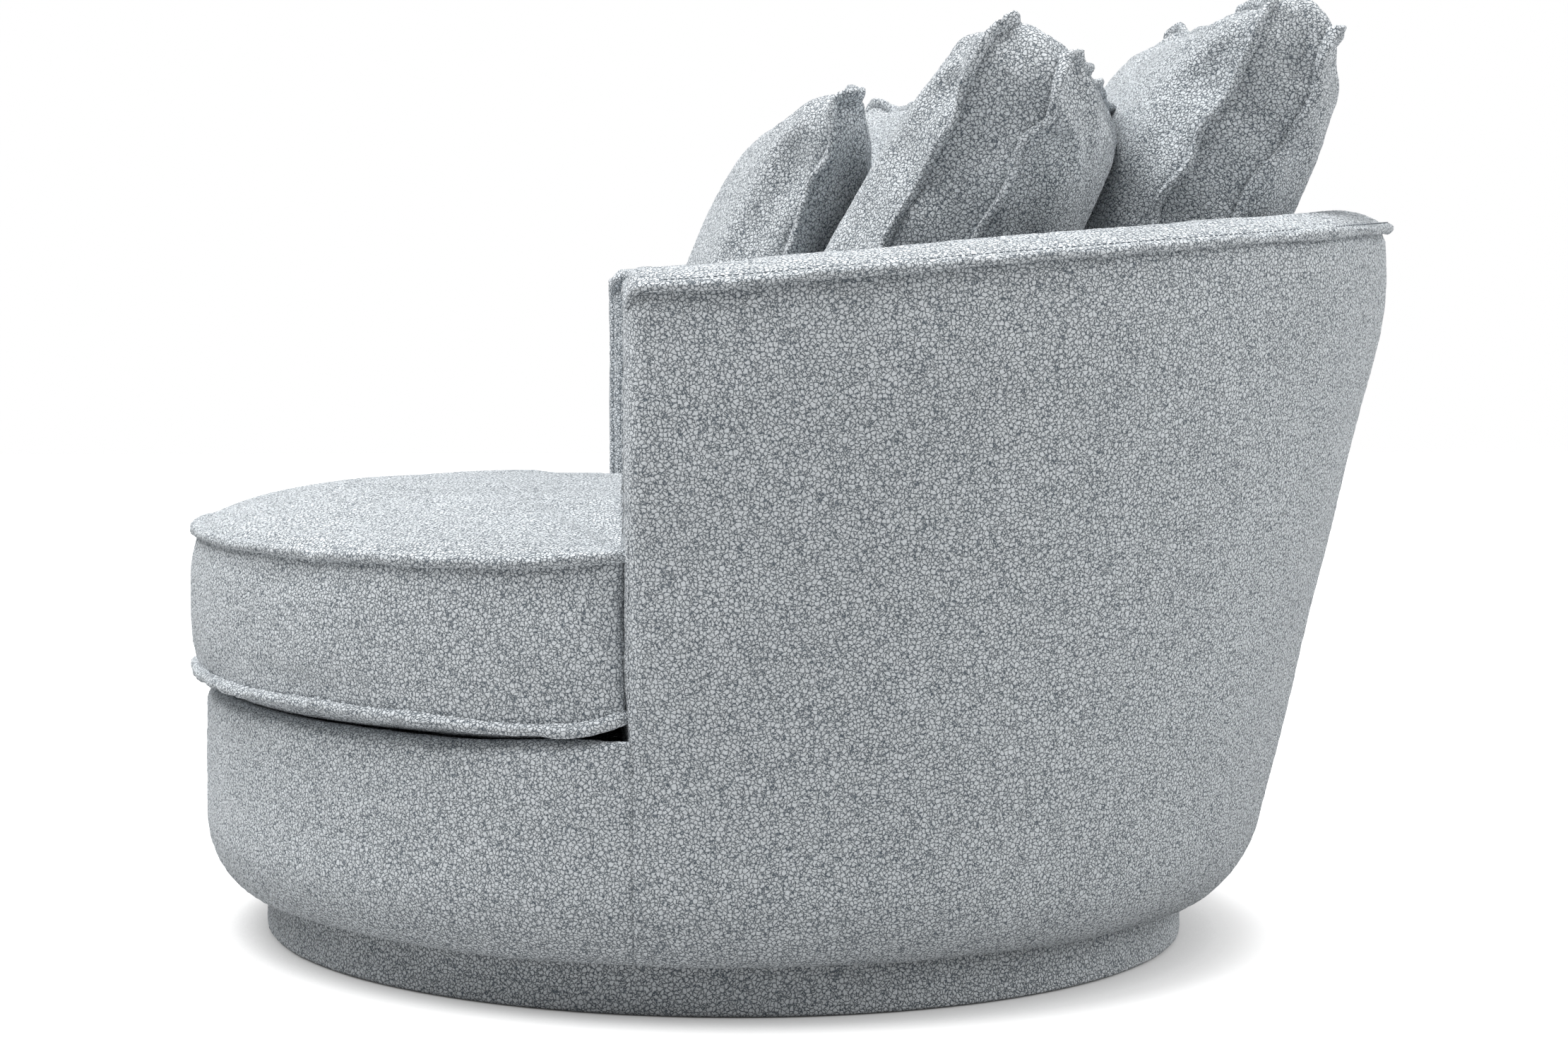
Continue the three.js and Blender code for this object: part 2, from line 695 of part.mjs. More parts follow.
function addSeatFrame() {
  const half = railSpread / 2;
  const bottom = baseBoardTop + seatGap;
  const inside = half - railThickness;
  for (const [side, sign] of [["left", 1], ["right", -1]]) {
    const x0 = Math.min(sign * half, sign * inside);
    const x1 = Math.max(sign * half, sign * inside);
    addPiece(chairGroup, `seat_rail_${side}`, boxSolid(x0, x1, -half, half, bottom, frameTop), timber);
  }
  for (const [end, sign] of [["rear", 1], ["front", -1]]) {
    const y0 = Math.min(sign * half, sign * inside);
    const y1 = Math.max(sign * half, sign * inside);
    const reach = inside - seatGap;
    addPiece(chairGroup, `seat_rail_${end}`, boxSolid(-reach, reach, y0, y1, bottom, frameTop), timber);
  }
  addStraps("webbing_along", strapsFrontToBack, lowerStrapBottom, false, half);
  addStraps("webbing_across", strapsAcross, upperStrapBottom, true, half);
  const plan = deckPlan(drumRadius - drumLip - slipGap, seatSideGap);
  const padTop = deckPadBottom + deckPadThickness;
  addPiece(chairGroup, "deck_pad", extrudedSolid(plan, deckPadBottom, padTop), foam);
  addPiece(chairGroup, "deck_cover", extrudedSolid(plan, deckCoverBottom, deckHeight), fabric);
}

function addStraps(name, count, bottom, across, half) {
  const pitch = (2 * half) / (count + 1);
  for (let i = 1; i <= count; i += 1) {
    const middle = -half + i * pitch;
    const near = middle - strapWidth / 2;
    const far = middle + strapWidth / 2;
    const top = bottom + strapThickness;
    const strap = across
      ? boxSolid(-half, half, near, far, bottom, top)
      : boxSolid(near, far, -half, half, bottom, top);
    addPiece(chairGroup, `${name}_${i}`, strap, webbing);
  }
}

// Cushions

// A cushion is a stack of rings about its middle, closed at both ends by a fan
function cushionSolid(rings, front, back) {
  const count = rings[0].length;
  const points = [...rings.flat(), front, back];
  const faces = [];
  const frontIndex = points.length - 2;
  const backIndex = points.length - 1;
  const last = (rings.length - 1) * count;
  for (let i = 0; i < count; i += 1) {
    const next = (i + 1) % count;
    for (let ring = 0; ring < rings.length - 1; ring += 1) {
      const a = ring * count + i;
      const b = ring * count + next;
      faces.push([a, b, b + count], [a, b + count, a + count]);
    }
    faces.push([frontIndex, next, i], [backIndex, last + i, last + next]);
  }
  return solidFromFaces(points, faces);
}

// Straight sides that bow inwards between round corners
function squareOutline(halfWidth, halfHeight, corner, drawIn, sideSteps, cornerSteps) {
  const outline = [];
  const sides = [
    [1, 0, halfWidth, halfHeight],
    [0, 1, halfHeight, halfWidth],
    [-1, 0, halfWidth, halfHeight],
    [0, -1, halfHeight, halfWidth],
  ];
  for (const [nx, ny, out, run] of sides) {
    const straight = run - corner;
    for (let i = 0; i <= sideSteps; i += 1) {
      const along = mix(-1, 1, i / sideSteps);
      const reach = out - drawIn * (1 - along ** 2);
      outline.push([nx * reach - ny * along * straight, ny * reach + nx * along * straight]);
    }
    const cx = nx * (out - corner) - ny * straight;
    const cy = ny * (out - corner) + nx * straight;
    const start = Math.atan2(ny, nx);
    for (let i = 1; i < cornerSteps; i += 1) {
      const angle = start + (i / cornerSteps) * (Math.PI / 2);
      outline.push([cx + corner * Math.cos(angle), cy + corner * Math.sin(angle)]);
    }
  }
  return outline;
}

const crownShares = [0.4, 0.7, 0.9];
const crownPower = 2.6;
const crownAt = (share) => 1 - share ** crownPower;

// Rings of a boxed or knife-edge cushion, from its front to its back, with a flange along each seam
function cushionRings(outline, gusset, frontCrown, backCrown, sideBulge) {
  const flange = cushionFlange;
  const scaled = (share, w) => outline.map(([u, v]) => new THREE.Vector3(u * share, v * share, w));
  const spread = (distance, w) => outline.map(([u, v]) => {
    const length = Math.hypot(u, v);
    const share = (length + distance) / length;
    return new THREE.Vector3(u * share, v * share, w);
  });
  const seam = gusset / 2;
  const half = cushionFlangeThickness / 2;
  const rings = crownShares.map((share) => scaled(share, seam + half + frontCrown * crownAt(share)));
  const fin = (w) => [
    spread(0, w + half),
    spread(flange, w + half),
    spread(flange, w - half),
    spread(0, w - half),
  ];
  rings.push(...fin(seam));
  if (gusset > 0) rings.push(spread(sideBulge, 0), ...fin(-seam));
  const behind = crownShares.map((share) => scaled(share, -seam - half - backCrown * crownAt(share)));
  rings.push(...behind.reverse());
  return rings;
}

function shapedCushion({ width, height, gusset, frontCrown, backCrown }) {
  const sides = [width / 2, height / 2];
  const outline = squareOutline(...sides, cushionCorner, cushionDrawIn, sideFacets, cornerFacets);
  const half = cushionFlangeThickness / 2;
  const rings = cushionRings(outline, gusset, frontCrown, backCrown, -gussetPull);
  const front = new THREE.Vector3(0, 0, gusset / 2 + half + frontCrown);
  const back = new THREE.Vector3(0, 0, -gusset / 2 - half - backCrown);
  return cushionSolid(rings, front, back);
}

// The pad inside, a plainer form that keeps the cover's wall clear on every side
const padShares = [0.45, 0.85];
const padFullness = 0.85;
const leastPadEdge = 1;

function shapedPad({ width, height, gusset, frontCrown, backCrown }, wall) {
  const halfWidth = width / 2 - cushionDrawIn - wall;
  const halfHeight = height / 2 - cushionDrawIn - wall;
  const outline = squareOutline(halfWidth, halfHeight, cushionCorner, 0, padFacets, padFacets);
  const seam = Math.max(gusset / 2 - wall / 2, leastPadEdge);
  const ring = (share, w) => outline.map(([u, v]) => new THREE.Vector3(u * share, v * share, w));
  const rise = (crown, share) => (crown - wall) * (1 - share ** 2) * padFullness;
  const rings = padShares.map((share) => ring(share, seam + rise(frontCrown, share)));
  rings.push(ring(1, seam), ring(1, -seam));
  rings.push(...padShares.map((share) => ring(share, -seam - rise(backCrown, share))).reverse());
  const front = new THREE.Vector3(0, 0, seam + rise(frontCrown, 0));
  const back = new THREE.Vector3(0, 0, -seam - rise(backCrown, 0));
  return cushionSolid(rings, front, back);
}

// Local axes: u across, v up the cushion, w out of its front
function cushionTurn(leanDegrees, turnDegrees) {
  const lean = THREE.MathUtils.degToRad(leanDegrees);
  const turn = THREE.MathUtils.degToRad(turnDegrees);
  const rearward = new THREE.Vector3(-Math.sin(turn), Math.cos(turn), 0);
  const up = new THREE.Vector3(0, 0, 1);
  const u = new THREE.Vector3(Math.cos(turn), Math.sin(turn), 0);
  const v = rearward.clone().multiplyScalar(Math.sin(lean)).addScaledVector(up, Math.cos(lean));
  const w = rearward.clone().multiplyScalar(-Math.cos(lean)).addScaledVector(up, Math.sin(lean));
  return new THREE.Matrix4().makeBasis(u, v, w);
}

// Lowers or pushes a solid as far as it goes before it meets its supports, then backs off by a gap.
// A cushion that lifts out is also tried part of the way up its lift.
const liftShares = [0, 0.01, 0.03, 0.06, 0.1, 0.15, 0.23, 0.35, 0.46, 0.62, 0.77, 0.96];
const pushSteps = 14;
const settleRounds = 2;
const settleReach = 260;
const settleStart = 221;
const openRounds = 4;
const stepAside = 12;
const trimRounds = 5;

function pushUntilTouching(solid, direction, reach, supports, lift) {
  let clear = 0;
  let blocked = reach;
  const trials = lift ? liftShares : [0];
  for (let step = 0; step < pushSteps; step += 1) {
    const middle = (clear + blocked) / 2;
    const touches = trials.some((share) => {
      const travel = direction.clone().multiplyScalar(middle);
      if (lift) travel.addScaledVector(lift, share * settleReach);
      return !solid.translate(travel.toArray()).intersect(supports).isEmpty();
    });
    if (touches) blocked = middle;
    else clear = middle;
  }
  return direction.clone().multiplyScalar(clear - seatGap);
}

const down = new THREE.Vector3(0, 0, -1);
const rearwards = new THREE.Vector3(0, 1, 0);
const upwards = new THREE.Vector3(0, 0, 1);

// Finds where a cushion comes to rest from a start above and in front of its place.
// Then it is lowered on to the floor at the rearmost place that leaves its way up past the walls open.
function settle(solid, start, walls, floor, lift) {
  const supports = walls.add(floor);
  const place = start.clone();
  const moved = () => solid.translate(place.toArray());
  place.add(pushUntilTouching(moved(), down, settleReach, supports, null));
  for (let round = 0; round < settleRounds; round += 1) {
    place.add(pushUntilTouching(moved(), rearwards, settleReach, supports, lift));
    place.add(pushUntilTouching(moved(), down, settleReach, supports, null));
  }
  for (let round = 0; round < openRounds; round += 1) {
    place.addScaledVector(rearwards, -stepAside);
    place.add(pushUntilTouching(moved(), rearwards, 2 * stepAside, walls, lift));
    place.addScaledVector(down, -stepAside);
    place.add(pushUntilTouching(moved(), down, 2 * stepAside, floor, null));
  }
  return place;
}

function seatOutline(inset, count) {
  const outline = [];
  for (let i = 0; i < count; i += 1) {
    const angle = (i / count) * 2 * Math.PI;
    const fromFront = angle > Math.PI ? 2 * Math.PI - angle : angle;
    const x = Math.sin(angle);
    const y = -Math.cos(angle);
    const reach = Math.sqrt(innerDeck.radius ** 2 - (innerDeck.centre * x) ** 2) + innerDeck.centre * y;
    const fromStart = THREE.MathUtils.radToDeg(fromFront) - seatCornerStart;
    const share = smooth(fromStart / (seatCornerEnd - seatCornerStart));
    const radius = mix(drumRadius + seatOverhang, reach - seatSideGap, share) - cushionFlange - inset;
    outline.push([x * radius, y * radius]);
  }
  return outline;
}

// The seat cushion's top rises towards its front, and its free front lifts a little off the drum
function pitched(solid) {
  const reach = drumRadius + seatOverhang;
  return solid.warp((point) => {
    const lifted = clamp01((point[2] + seatEdgeHeight / 2) / seatEdgeHeight);
    point[2] -= (seatPitch * lifted * (point[1] + reach)) / reach;
    point[2] += seatFrontLift * clamp01((-point[1] - armEnd) / (reach - armEnd));
  });
}

function seatCushionSolid() {
  const half = cushionFlangeThickness / 2;
  const outline = seatOutline(0, seatFacets);
  const rings = cushionRings(outline, seatEdgeHeight, seatCrown, 0, seatBulge);
  const front = new THREE.Vector3(0, 0, seatEdgeHeight / 2 + half + seatCrown);
  const back = new THREE.Vector3(0, 0, -seatEdgeHeight / 2 - half);
  return pitched(cushionSolid(rings, front, back));
}

function seatPadSolid(wall) {
  const outline = seatOutline(wall + gussetPull, seatFacets / 2);
  const half = seatEdgeHeight / 2 - wall;
  const ring = (share, w) => outline.map(([u, v]) => new THREE.Vector3(u * share, v * share, w));
  const rise = (share) => (seatCrown - wall / 2) * (1 - share ** 2) * padFullness;
  const rings = [...padShares.map((share) => ring(share, half + rise(share))), ring(1, half), ring(1, -half)];
  const front = new THREE.Vector3(0, 0, half + rise(0));
  return pitched(cushionSolid(rings, front, new THREE.Vector3(0, 0, -half)));
}

// Adds a cushion's cover, hollowed for its pad, with a zip in a slot through the cover's wall.
// trim cuts a solid where the cushion is pressed flat, with a wall's thickness to spare.
function addCushion(group, name, { outer, padAt, zipAt, place, trim = (solid) => solid }) {
  const slot = boxSolid(-zipLength / 2, zipLength / 2, -zipRun, zipRun, -zipWidth / 2, zipWidth / 2);
  const inner = trim(padAt(coverWall), coverWall);
  const pad = trim(padAt(coverWall + seatGap), coverWall + seatGap);
  const cover = trim(outer, 0).subtract(inner).subtract(slot.transform(zipAt.elements));
  const narrow = boxSolid(
    seatGap - zipLength / 2, zipLength / 2 - seatGap, -coverWall / 2, coverWall / 2,
    seatGap - zipWidth / 2, zipWidth / 2 - seatGap,
  );
  const zip = narrow.transform(zipAt.elements);
  addPiece(group, `${name}_cover`, cover.transform(place.elements), fabric);
  addPiece(group, `${name}_pad`, pad.transform(place.elements), foam);
  addPiece(group, `${name}_zip`, zip.transform(place.elements), plastic);
}

const insideCoverSolid = insideCover();
const rimCoverSolid = rimCover();
addPlinth();
addSwivel();
addDrum();
addSeatFrame();
addTubFrame();
addTubPadding();
addOutsideCover();
addPiece(chairGroup, "inside_cover", insideCoverSolid, fabric);
addPiece(chairGroup, "rim_cover", rimCoverSolid, fabric);
addArmPanels();

// Seat cushion, flat on the deck
const seatMiddle = deckHeight + seatGap + (seatEdgeHeight + cushionFlangeThickness) / 2;
const seatPlace = new THREE.Matrix4().makeTranslation(0, 0, seatMiddle);
const seatSolid = seatCushionSolid();
const seatBackEdge = innerDeck.centre + innerDeck.radius - seatSideGap - cushionFlange - gussetPull;
addCushion(seatGroup, "seat_cushion", {
  outer: seatSolid,
  padAt: seatPadSolid,
  zipAt: new THREE.Matrix4().makeTranslation(0, seatBackEdge - coverWall / 2, 0),
  place: seatPlace,
});

// Loose cushions: the centre of the back, the two beside it and the scatter cushion in front of them
const tub = insideCoverSolid.add(rimCoverSolid);
const seatTop = seatSolid.transform(seatPlace.elements);
const startHeight = deckHeight + seatEdgeHeight + backCushion.height;
const backLift = new THREE.Vector3().setFromMatrixColumn(cushionTurn(backLean, 0), 1);

function placed(turned, place) {
  return new THREE.Matrix4().makeTranslation(place.x, place.y, place.z).multiply(turned);
}

function addLoose(name, sizes, outer, place, trim) {
  addCushion(seatGroup, name, {
    outer,
    padAt: (wall) => shapedPad(sizes, wall),
    zipAt: new THREE.Matrix4().makeTranslation(0, -sizes.height / 2 + cushionDrawIn + coverWall / 2, 0),
    place,
    trim,
  });
}

function addCentreCushion() {
  const turned = cushionTurn(backLean, 0);
  const outer = shapedCushion(backCushion);
  const start = new THREE.Vector3(0, settleStart, startHeight);
  const place = placed(turned, settle(outer.transform(turned.elements), start, tub, seatTop, backLift));
  addLoose("back_cushion_centre", backCushion, outer, place);
  return place;
}

// The side cushions are pressed flat against the plane of the centre cushion's crown and against each other
function addSideCushion(name, sizes, { lean, turn, across: aside, ahead }, centrePlace) {
  const sign = Math.sign(aside);
  const centre = new THREE.Vector3().setFromMatrixPosition(centrePlace);
  const turned = cushionTurn(lean, turn);
  const crownFront = (backCushion.gusset + cushionFlangeThickness) / 2 + backCushion.frontCrown + seatGap;
  const wide = backCushion.width;
  const cutterAt = (place, wall) => {
    const behind = boxSolid(-wide, wide, -wide, wide, -wide, crownFront + wall);
    const edges = [sign * (wall + seatGap / 2), -sign * wide];
    const beside = boxSolid(Math.min(...edges), Math.max(...edges), -wide, wide, 0, 2 * startHeight);
    const intoCushion = place.clone().invert();
    const behindHere = behind.transform(intoCushion.clone().multiply(centrePlace).elements);
    return behindHere.add(beside.transform(intoCushion.elements));
  };
  const full = shapedCushion(sizes);
  const resting = new THREE.Vector3(aside, centre.y - ahead, startHeight);
  for (let round = 0; round < trimRounds; round += 1) {
    const cut = cutterAt(placed(turned, resting), 0);
    const trimmed = full.subtract(cut).transform(turned.elements).translate(resting.toArray());
    resting.add(pushUntilTouching(trimmed, down, settleReach, tub.add(seatTop), null));
  }
  const place = placed(turned, resting);
  const trim = (solid, wall) => solid.subtract(cutterAt(place, wall));
  addLoose(name, sizes, full, place, trim);
  return trim(full, 0).transform(place.elements);
}

function addScatterCushion(behind) {
  const turned = cushionTurn(scatterLean, 0);
  const outer = shapedCushion(scatterCushion);
  const start = new THREE.Vector3(0, -settleStart, startHeight);
  const place = placed(turned, settle(outer.transform(turned.elements), start, behind, seatTop, upwards));
  addLoose("scatter_cushion", scatterCushion, outer, place);
}

const centrePlace = addCentreCushion();
const leftSolid = addSideCushion("back_cushion_left", leftCushion, leftPlace, centrePlace);
const rightSolid = addSideCushion("back_cushion_right", rightCushion, rightPlace, centrePlace);
addScatterCushion(leftSolid.add(rightSolid));

export default plinthGroup;
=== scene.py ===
# Cuddle chair: its looped-pile covers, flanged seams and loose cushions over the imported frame,
# with a white floor, soft studio light and the photograph's camera.
# Metres, +Z up. The chair faces -Y, and left is the sitter's left, +X.
import json
import math

import bpy
import numpy as np
from mathutils import Matrix, Vector
from mathutils.kdtree import KDTree


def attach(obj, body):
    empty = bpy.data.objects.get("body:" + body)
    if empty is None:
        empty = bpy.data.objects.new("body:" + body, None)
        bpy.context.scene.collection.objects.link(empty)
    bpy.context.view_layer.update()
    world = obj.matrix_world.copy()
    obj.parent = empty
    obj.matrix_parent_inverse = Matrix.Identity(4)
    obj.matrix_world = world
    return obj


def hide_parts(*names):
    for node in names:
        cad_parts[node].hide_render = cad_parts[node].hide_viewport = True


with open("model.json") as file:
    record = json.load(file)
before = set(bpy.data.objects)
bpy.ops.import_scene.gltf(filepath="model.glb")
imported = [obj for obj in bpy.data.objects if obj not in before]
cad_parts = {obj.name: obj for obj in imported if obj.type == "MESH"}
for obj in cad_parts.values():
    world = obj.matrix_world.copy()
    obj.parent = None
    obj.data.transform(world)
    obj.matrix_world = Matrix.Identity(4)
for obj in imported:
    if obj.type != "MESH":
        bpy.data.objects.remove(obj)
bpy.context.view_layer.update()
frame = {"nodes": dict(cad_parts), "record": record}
scene = bpy.context.scene
chance = np.random.default_rng(11)

# Sizes shared with the part's source
DRUM_RADIUS = 0.556
PLINTH_RECESS = 0.063
PLINTH_COVER_RISE = 0.060
PLINTH_HEM = 0.024
HEM_HEIGHT = 0.052
HEM_GAP = 0.012
DECK_HEIGHT = 0.256
SKIN = 0.004
SEAT_GAP = 0.0003
INSIDE_FOOT = DECK_HEIGHT + SEAT_GAP
ARM_END = 0.092
TOP_HEIGHT = 0.700
ARM_FLARE = 0.050
BACK_RAKE = 0.156
ARM_THICKNESS = 0.120
ARM_THICKNESS_AT_DECK = 0.138
BACK_THICKNESS = 0.115
BACK_THICKNESS_AT_DECK = 0.156
RIM_FRONT_HEIGHT = 0.688
RIM_RISE = 0.064
RIM_QUICKNESS = 0.85
RIM_NOSE = 0.08
ARM_PANEL_THICKNESS = 0.022
SEAT_SIDE_GAP = 0.007
CUSHION_CORNER = 0.042
CUSHION_DRAW_IN = 0.014

# How the stuffed cloth differs from the solids: rounder edges and a softer rim
LOWER_EDGE_RISE = 0.075
EDGE_STEPS = 14
INSIDE_EDGE_STEPS = 5
DRUM_TOP_ROUND = 0.018
DRUM_TOP_STEPS = 8
DRUM_TOP_TIGHTNESS = 0.2
DRUM_TIGHT_REACH = 0.06
DRUM_TOP_DEPTH = DRUM_TOP_ROUND * 3.2
DRUM_CREST = 0.006
DRUM_CREST_RISE = 0.009
DRUM_CREST_RUN = 0.18
WALL_TOP_ROUND = 0.021
WALL_TOP_RUN = 0.12
WALL_SIDE_ROUND = 0.25
RIM_TILT = 0.009
RIM_CROWN = 0.0125
RIM_CROWN_FULLNESS = 0.8
RIM_STEPS = 22
ARM_PANEL_SUNK = 0.002
ARM_FRONT = -(ARM_END + ARM_PANEL_THICKNESS - ARM_PANEL_SUNK)
ARM_ROUND = 0.015
JOIN_SEAM = -0.1085
ARM_FOOT_LOW = 0.268
ARM_FOOT_HIGH = 0.335
DRUM_BLEND = 0.5
JOIN_DIP = 0.003
JOIN_DIP_WIDTH = 0.0035
JOIN_OVERLAP = 0.0012
JOIN_RINGS = (0.0, 0.0015, 0.0035)
NOSE_STEPS = 9
NEAR_END = 0.99

# The arm's front panel: how far each ring of it lies inside the arm's edge, and how far it stands forward
PANEL_PUFF = [(0.0, -0.004), (0.0, 0.0), (0.003, 0.0014), (0.007, 0.0024), (0.013, 0.0034), (0.020, 0.0036),
              (0.028, 0.0037), (0.036, 0.0037), (0.041, 0.0037)]
PANEL_SEAM = (0.0005, 0.0003)
PANEL_SEAM_FORWARD = 1.1
PANEL_LIP_START = 0.03
PANEL_LIP_FADE = 5
PANEL_LIP_TIP = 0.4
PANEL_INSIDE = 0.02

# The plinth's cover: rounded under its foot, and thin enough to leave the plywood ring inside
PLINTH_SLIM = 0.0008
PLINTH_SKIN = SKIN * 0.6
PLINTH_FOOT = 0.001
PLINTH_FOOT_ROUND = [(PLINTH_HEM, 0.0), (0.008, 0.0), (0.002, 0.0006), (0.0006, 0.002)]
PLINTH_WALL_START = 0.005
PLINTH_HEM_TOP = 0.0037

# Padding that shows through: the hills' height and spacing, and how far the loops stand proud
WALL_PADDING = {"hills": 0.0011, "wavelength": 0.17, "nub": 0.0006}
RIM_PADDING = {"hills": 0.0011, "wavelength": 0.12, "nub": 0.0006}
PANEL_PADDING = {"hills": 0.0006, "wavelength": 0.09, "nub": 0.0006}
PLINTH_PADDING = {"hills": 0.0004, "wavelength": 0.1, "nub": 0.0004, "still_below": 0.002}
CUSHION_PADDING = {"hills": 0.0005, "wavelength": 0.09, "nub": 0.0005}

# Seams: the lip of a flanged seam stands this far out and is this thick
RIM_LIP = {"reach": 0.0085, "thickness": 0.0105, "droop": 0.2, "stitched_at": 0.54}
PANEL_LIP = {"reach": 0.0042, "thickness": 0.0075}
SEAT_LIP = {"reach": 0.0085, "thickness": 0.0115}
CUSHION_LIP = {"reach": 0.0085, "thickness": 0.0085}
LIP_PROFILE = [(-0.7, 0.30), (-0.2, 0.44), (0.3, 0.5), (0.7, 0.42), (0.93, 0.23), (1.0, 0.0),
               (0.93, -0.23), (0.7, -0.42), (0.3, -0.5), (-0.2, -0.44), (-0.7, -0.30)]
LIP_WANDER = {"reach": (0.16, 0.035), "thickness": (0.10, 0.028), "bend": (0.13, 0.05)}
SEAM_GROOVE = 0.0032
SEAM_GROOVE_WIDTH = 0.0055
STITCH_PITCH = 0.0065
STITCH_LENGTH = 0.0038
STITCH_RADIUS = 0.0006
STITCH_SIDES = 6
STITCH_ENDS = ((0, 0.35), (0.15, 1), (0.85, 1), (1, 0.35))
STITCH_PROUD = 0.0012
STITCHED_TURN = 0.995

# Seat cushion
SEAT_FRONT = 0.572
SEAT_MIDDLE_Y = -0.30
SEAT_ARM_GAP = 0.003
SEAT_TOP_SEAM = 0.430
SEAT_LOW_SEAM = 0.281
SEAT_CROWN = 0.041
SEAT_GUSSET_BULGE = 0.0015
SEAT_ARM_LIFT = 0.012
SEAT_LIFT_START = -0.30
SEAT_LOW_LIFT = 0.014
SEAT_LOW_LIFT_START = -0.165
SEAT_DROOP = 0.005
SEAT_DROOP_PLACE = -0.21
SEAT_CORNER_SOFTNESS = 0.014
SEAT_REST = 0.0008
SEAT_FACETS = 88
SEAT_ROWS = 13
SEAT_OUTLINE_POINTS = 2400
SEAT_CROWN_POWER = 2.6
SEAT_BELLY_POWER = 6
SEAT_SMOOTHINGS = 60
SEAT_SMOOTH_MARGIN = 4
SEAT_BULGE_START = 0.03
SEAT_BULGE_RUN = 0.05
SEAT_EAR_START = 0.05
SEAT_DROOP_REACH = 0.07
SEAT_LIP_DROOP = 0.12
SEAT_FILLING = {"pressure": 3.0, "most": 0.006, "gather": 0.0, "frames": 10}

# Back and scatter cushions: sizes, then lean, turn and the place of the middle
BACK_CUSHION = {"width": 0.590, "height": 0.578, "gusset": 0.070, "front": 0.058, "back": 0.066,
                "lean": 28.5, "turn": 0, "middle": (0, 0.4375, 0.7095)}
LEFT_CUSHION = {"width": 0.440, "height": 0.500, "gusset": 0.072, "front": 0.052, "back": 0.062,
                "lean": 30, "turn": -16, "middle": (0.212, 0.221, 0.709), "slumped": -1}
RIGHT_CUSHION = {"width": 0.440, "height": 0.452, "gusset": 0.072, "front": 0.027, "back": 0.062,
                 "lean": 33, "turn": 12, "middle": (-0.208, 0.157, 0.700)}
SCATTER_CUSHION = {"width": 0.530, "height": 0.452, "gusset": 0.0, "front": 0.062, "back": 0.064,
                   "lean": 22, "turn": 0, "middle": (0, 0.037, 0.6822)}

# Their filling: facets, dents near the edges and corners, wider lips there, and how they press together
LOOSE_FACETS = 56
LOOSE_ROWS = 7
LOOSE_FILLING = {"pressure": 4.0, "most": 0.018, "gather": 0.045, "frames": 14}
RUMPLE = 0.005
RUMPLE_SPACING = 0.065
RUMPLE_START = 0.72
RUMPLE_RUN = 0.2
CORNER_RUMPLE = 1.3
CORNER_REACH = 0.085
SLUMP = 0.048
SLUMP_POWER = 1.5
EAR_INSET = 0.012
EAR_GROWTH = 0.5
EAR_REACH = 0.03
CUSHION_GAP = 0.003
MIDDLE_GAP = 0.0008
PRESSED_ROUND = 0.004

# The stuffed cover as Blender's cloth: firm along its threads and easy to bend
CLOTH = {"quality": 4, "mass": 0.3, "tension_stiffness": 18, "compression_stiffness": 18,
         "shear_stiffness": 6, "bending_stiffness": 0.6, "use_pressure": True,
         "vertex_group_shrink": "seams", "shrink_min": 0.0}

# Zips: the chain, its guide line's distance from the cushion, and its place behind a knife edge
ZIP = {"length": 0.300, "half_width": 0.0035, "proud": 0.0012, "guide_away": 0.010,
       "behind_knife_edge": 0.050}
ZIP_SECTION = ((-1, -1), (1, -1), (1, 0.7), (0.4, 1), (-0.4, 1), (-1, 0.7))

# Light
ROOM_LIGHT = 0.26
SOFTBOXES = {
    "front_softbox": {"light": 4.0, "width": 55, "from": (-0.02, -0.42, 1.0)},
    "back_softbox": {"light": 1.6, "width": 50, "from": (0.1, 0.85, 0.55)},
}
# The floor's glow, and how far round the chair ambient occlusion dims it as a painted shadow
FLOOR_GLOW = 0.9
FLOOR_SHADOW_REACH = 0.095

# Spacing of the covers' points, and of the seams' points
COVER_STEP = 0.007
SEAM_STEP = 0.005
SHARP_EDGE = 55


def mix(start, end, share):
    return start + (end - start) * share


def smooth(value):
    value = min(max(value, 0.0), 1.0)
    return value * value * (3 - 2 * value)


# Colour and materials

def linear(hex_colour):
    """An sRGB hex colour as linear red, green, blue and alpha."""
    values = [int(hex_colour[i:i + 2], 16) / 255 for i in (1, 3, 5)]
    return [v / 12.92 if v <= 0.04045 else ((v + 0.055) / 1.055) ** 2.4 for v in values] + [1.0]


def set_up(tree, node, links=None, **settings):
    """Sets a node's properties and its sockets' values by name, and links its inputs."""
    for name, value in settings.items():
        if hasattr(node, name):
            setattr(node, name, value)
        else:
            node.inputs[name.replace("_", " ")].default_value = value
    for name, source in (links or {}).items():
        tree.links.new(source, node.inputs[name])
    return node


def add_node(tree, kind, links=None, **settings):
    return set_up(tree, tree.nodes.new(kind), links, **settings)


def new_material(name):
    material = bpy.data.materials.new(name)
    material.use_nodes = True
    tree = material.node_tree
    tree.nodes.clear()
    shader = add_node(tree, "ShaderNodeBsdfPrincipled")
    add_node(tree, "ShaderNodeOutputMaterial", {"Surface": shader.outputs["BSDF"]})
    place = add_node(tree, "ShaderNodeTexCoord").outputs["Object"]
    return material, tree, shader, place


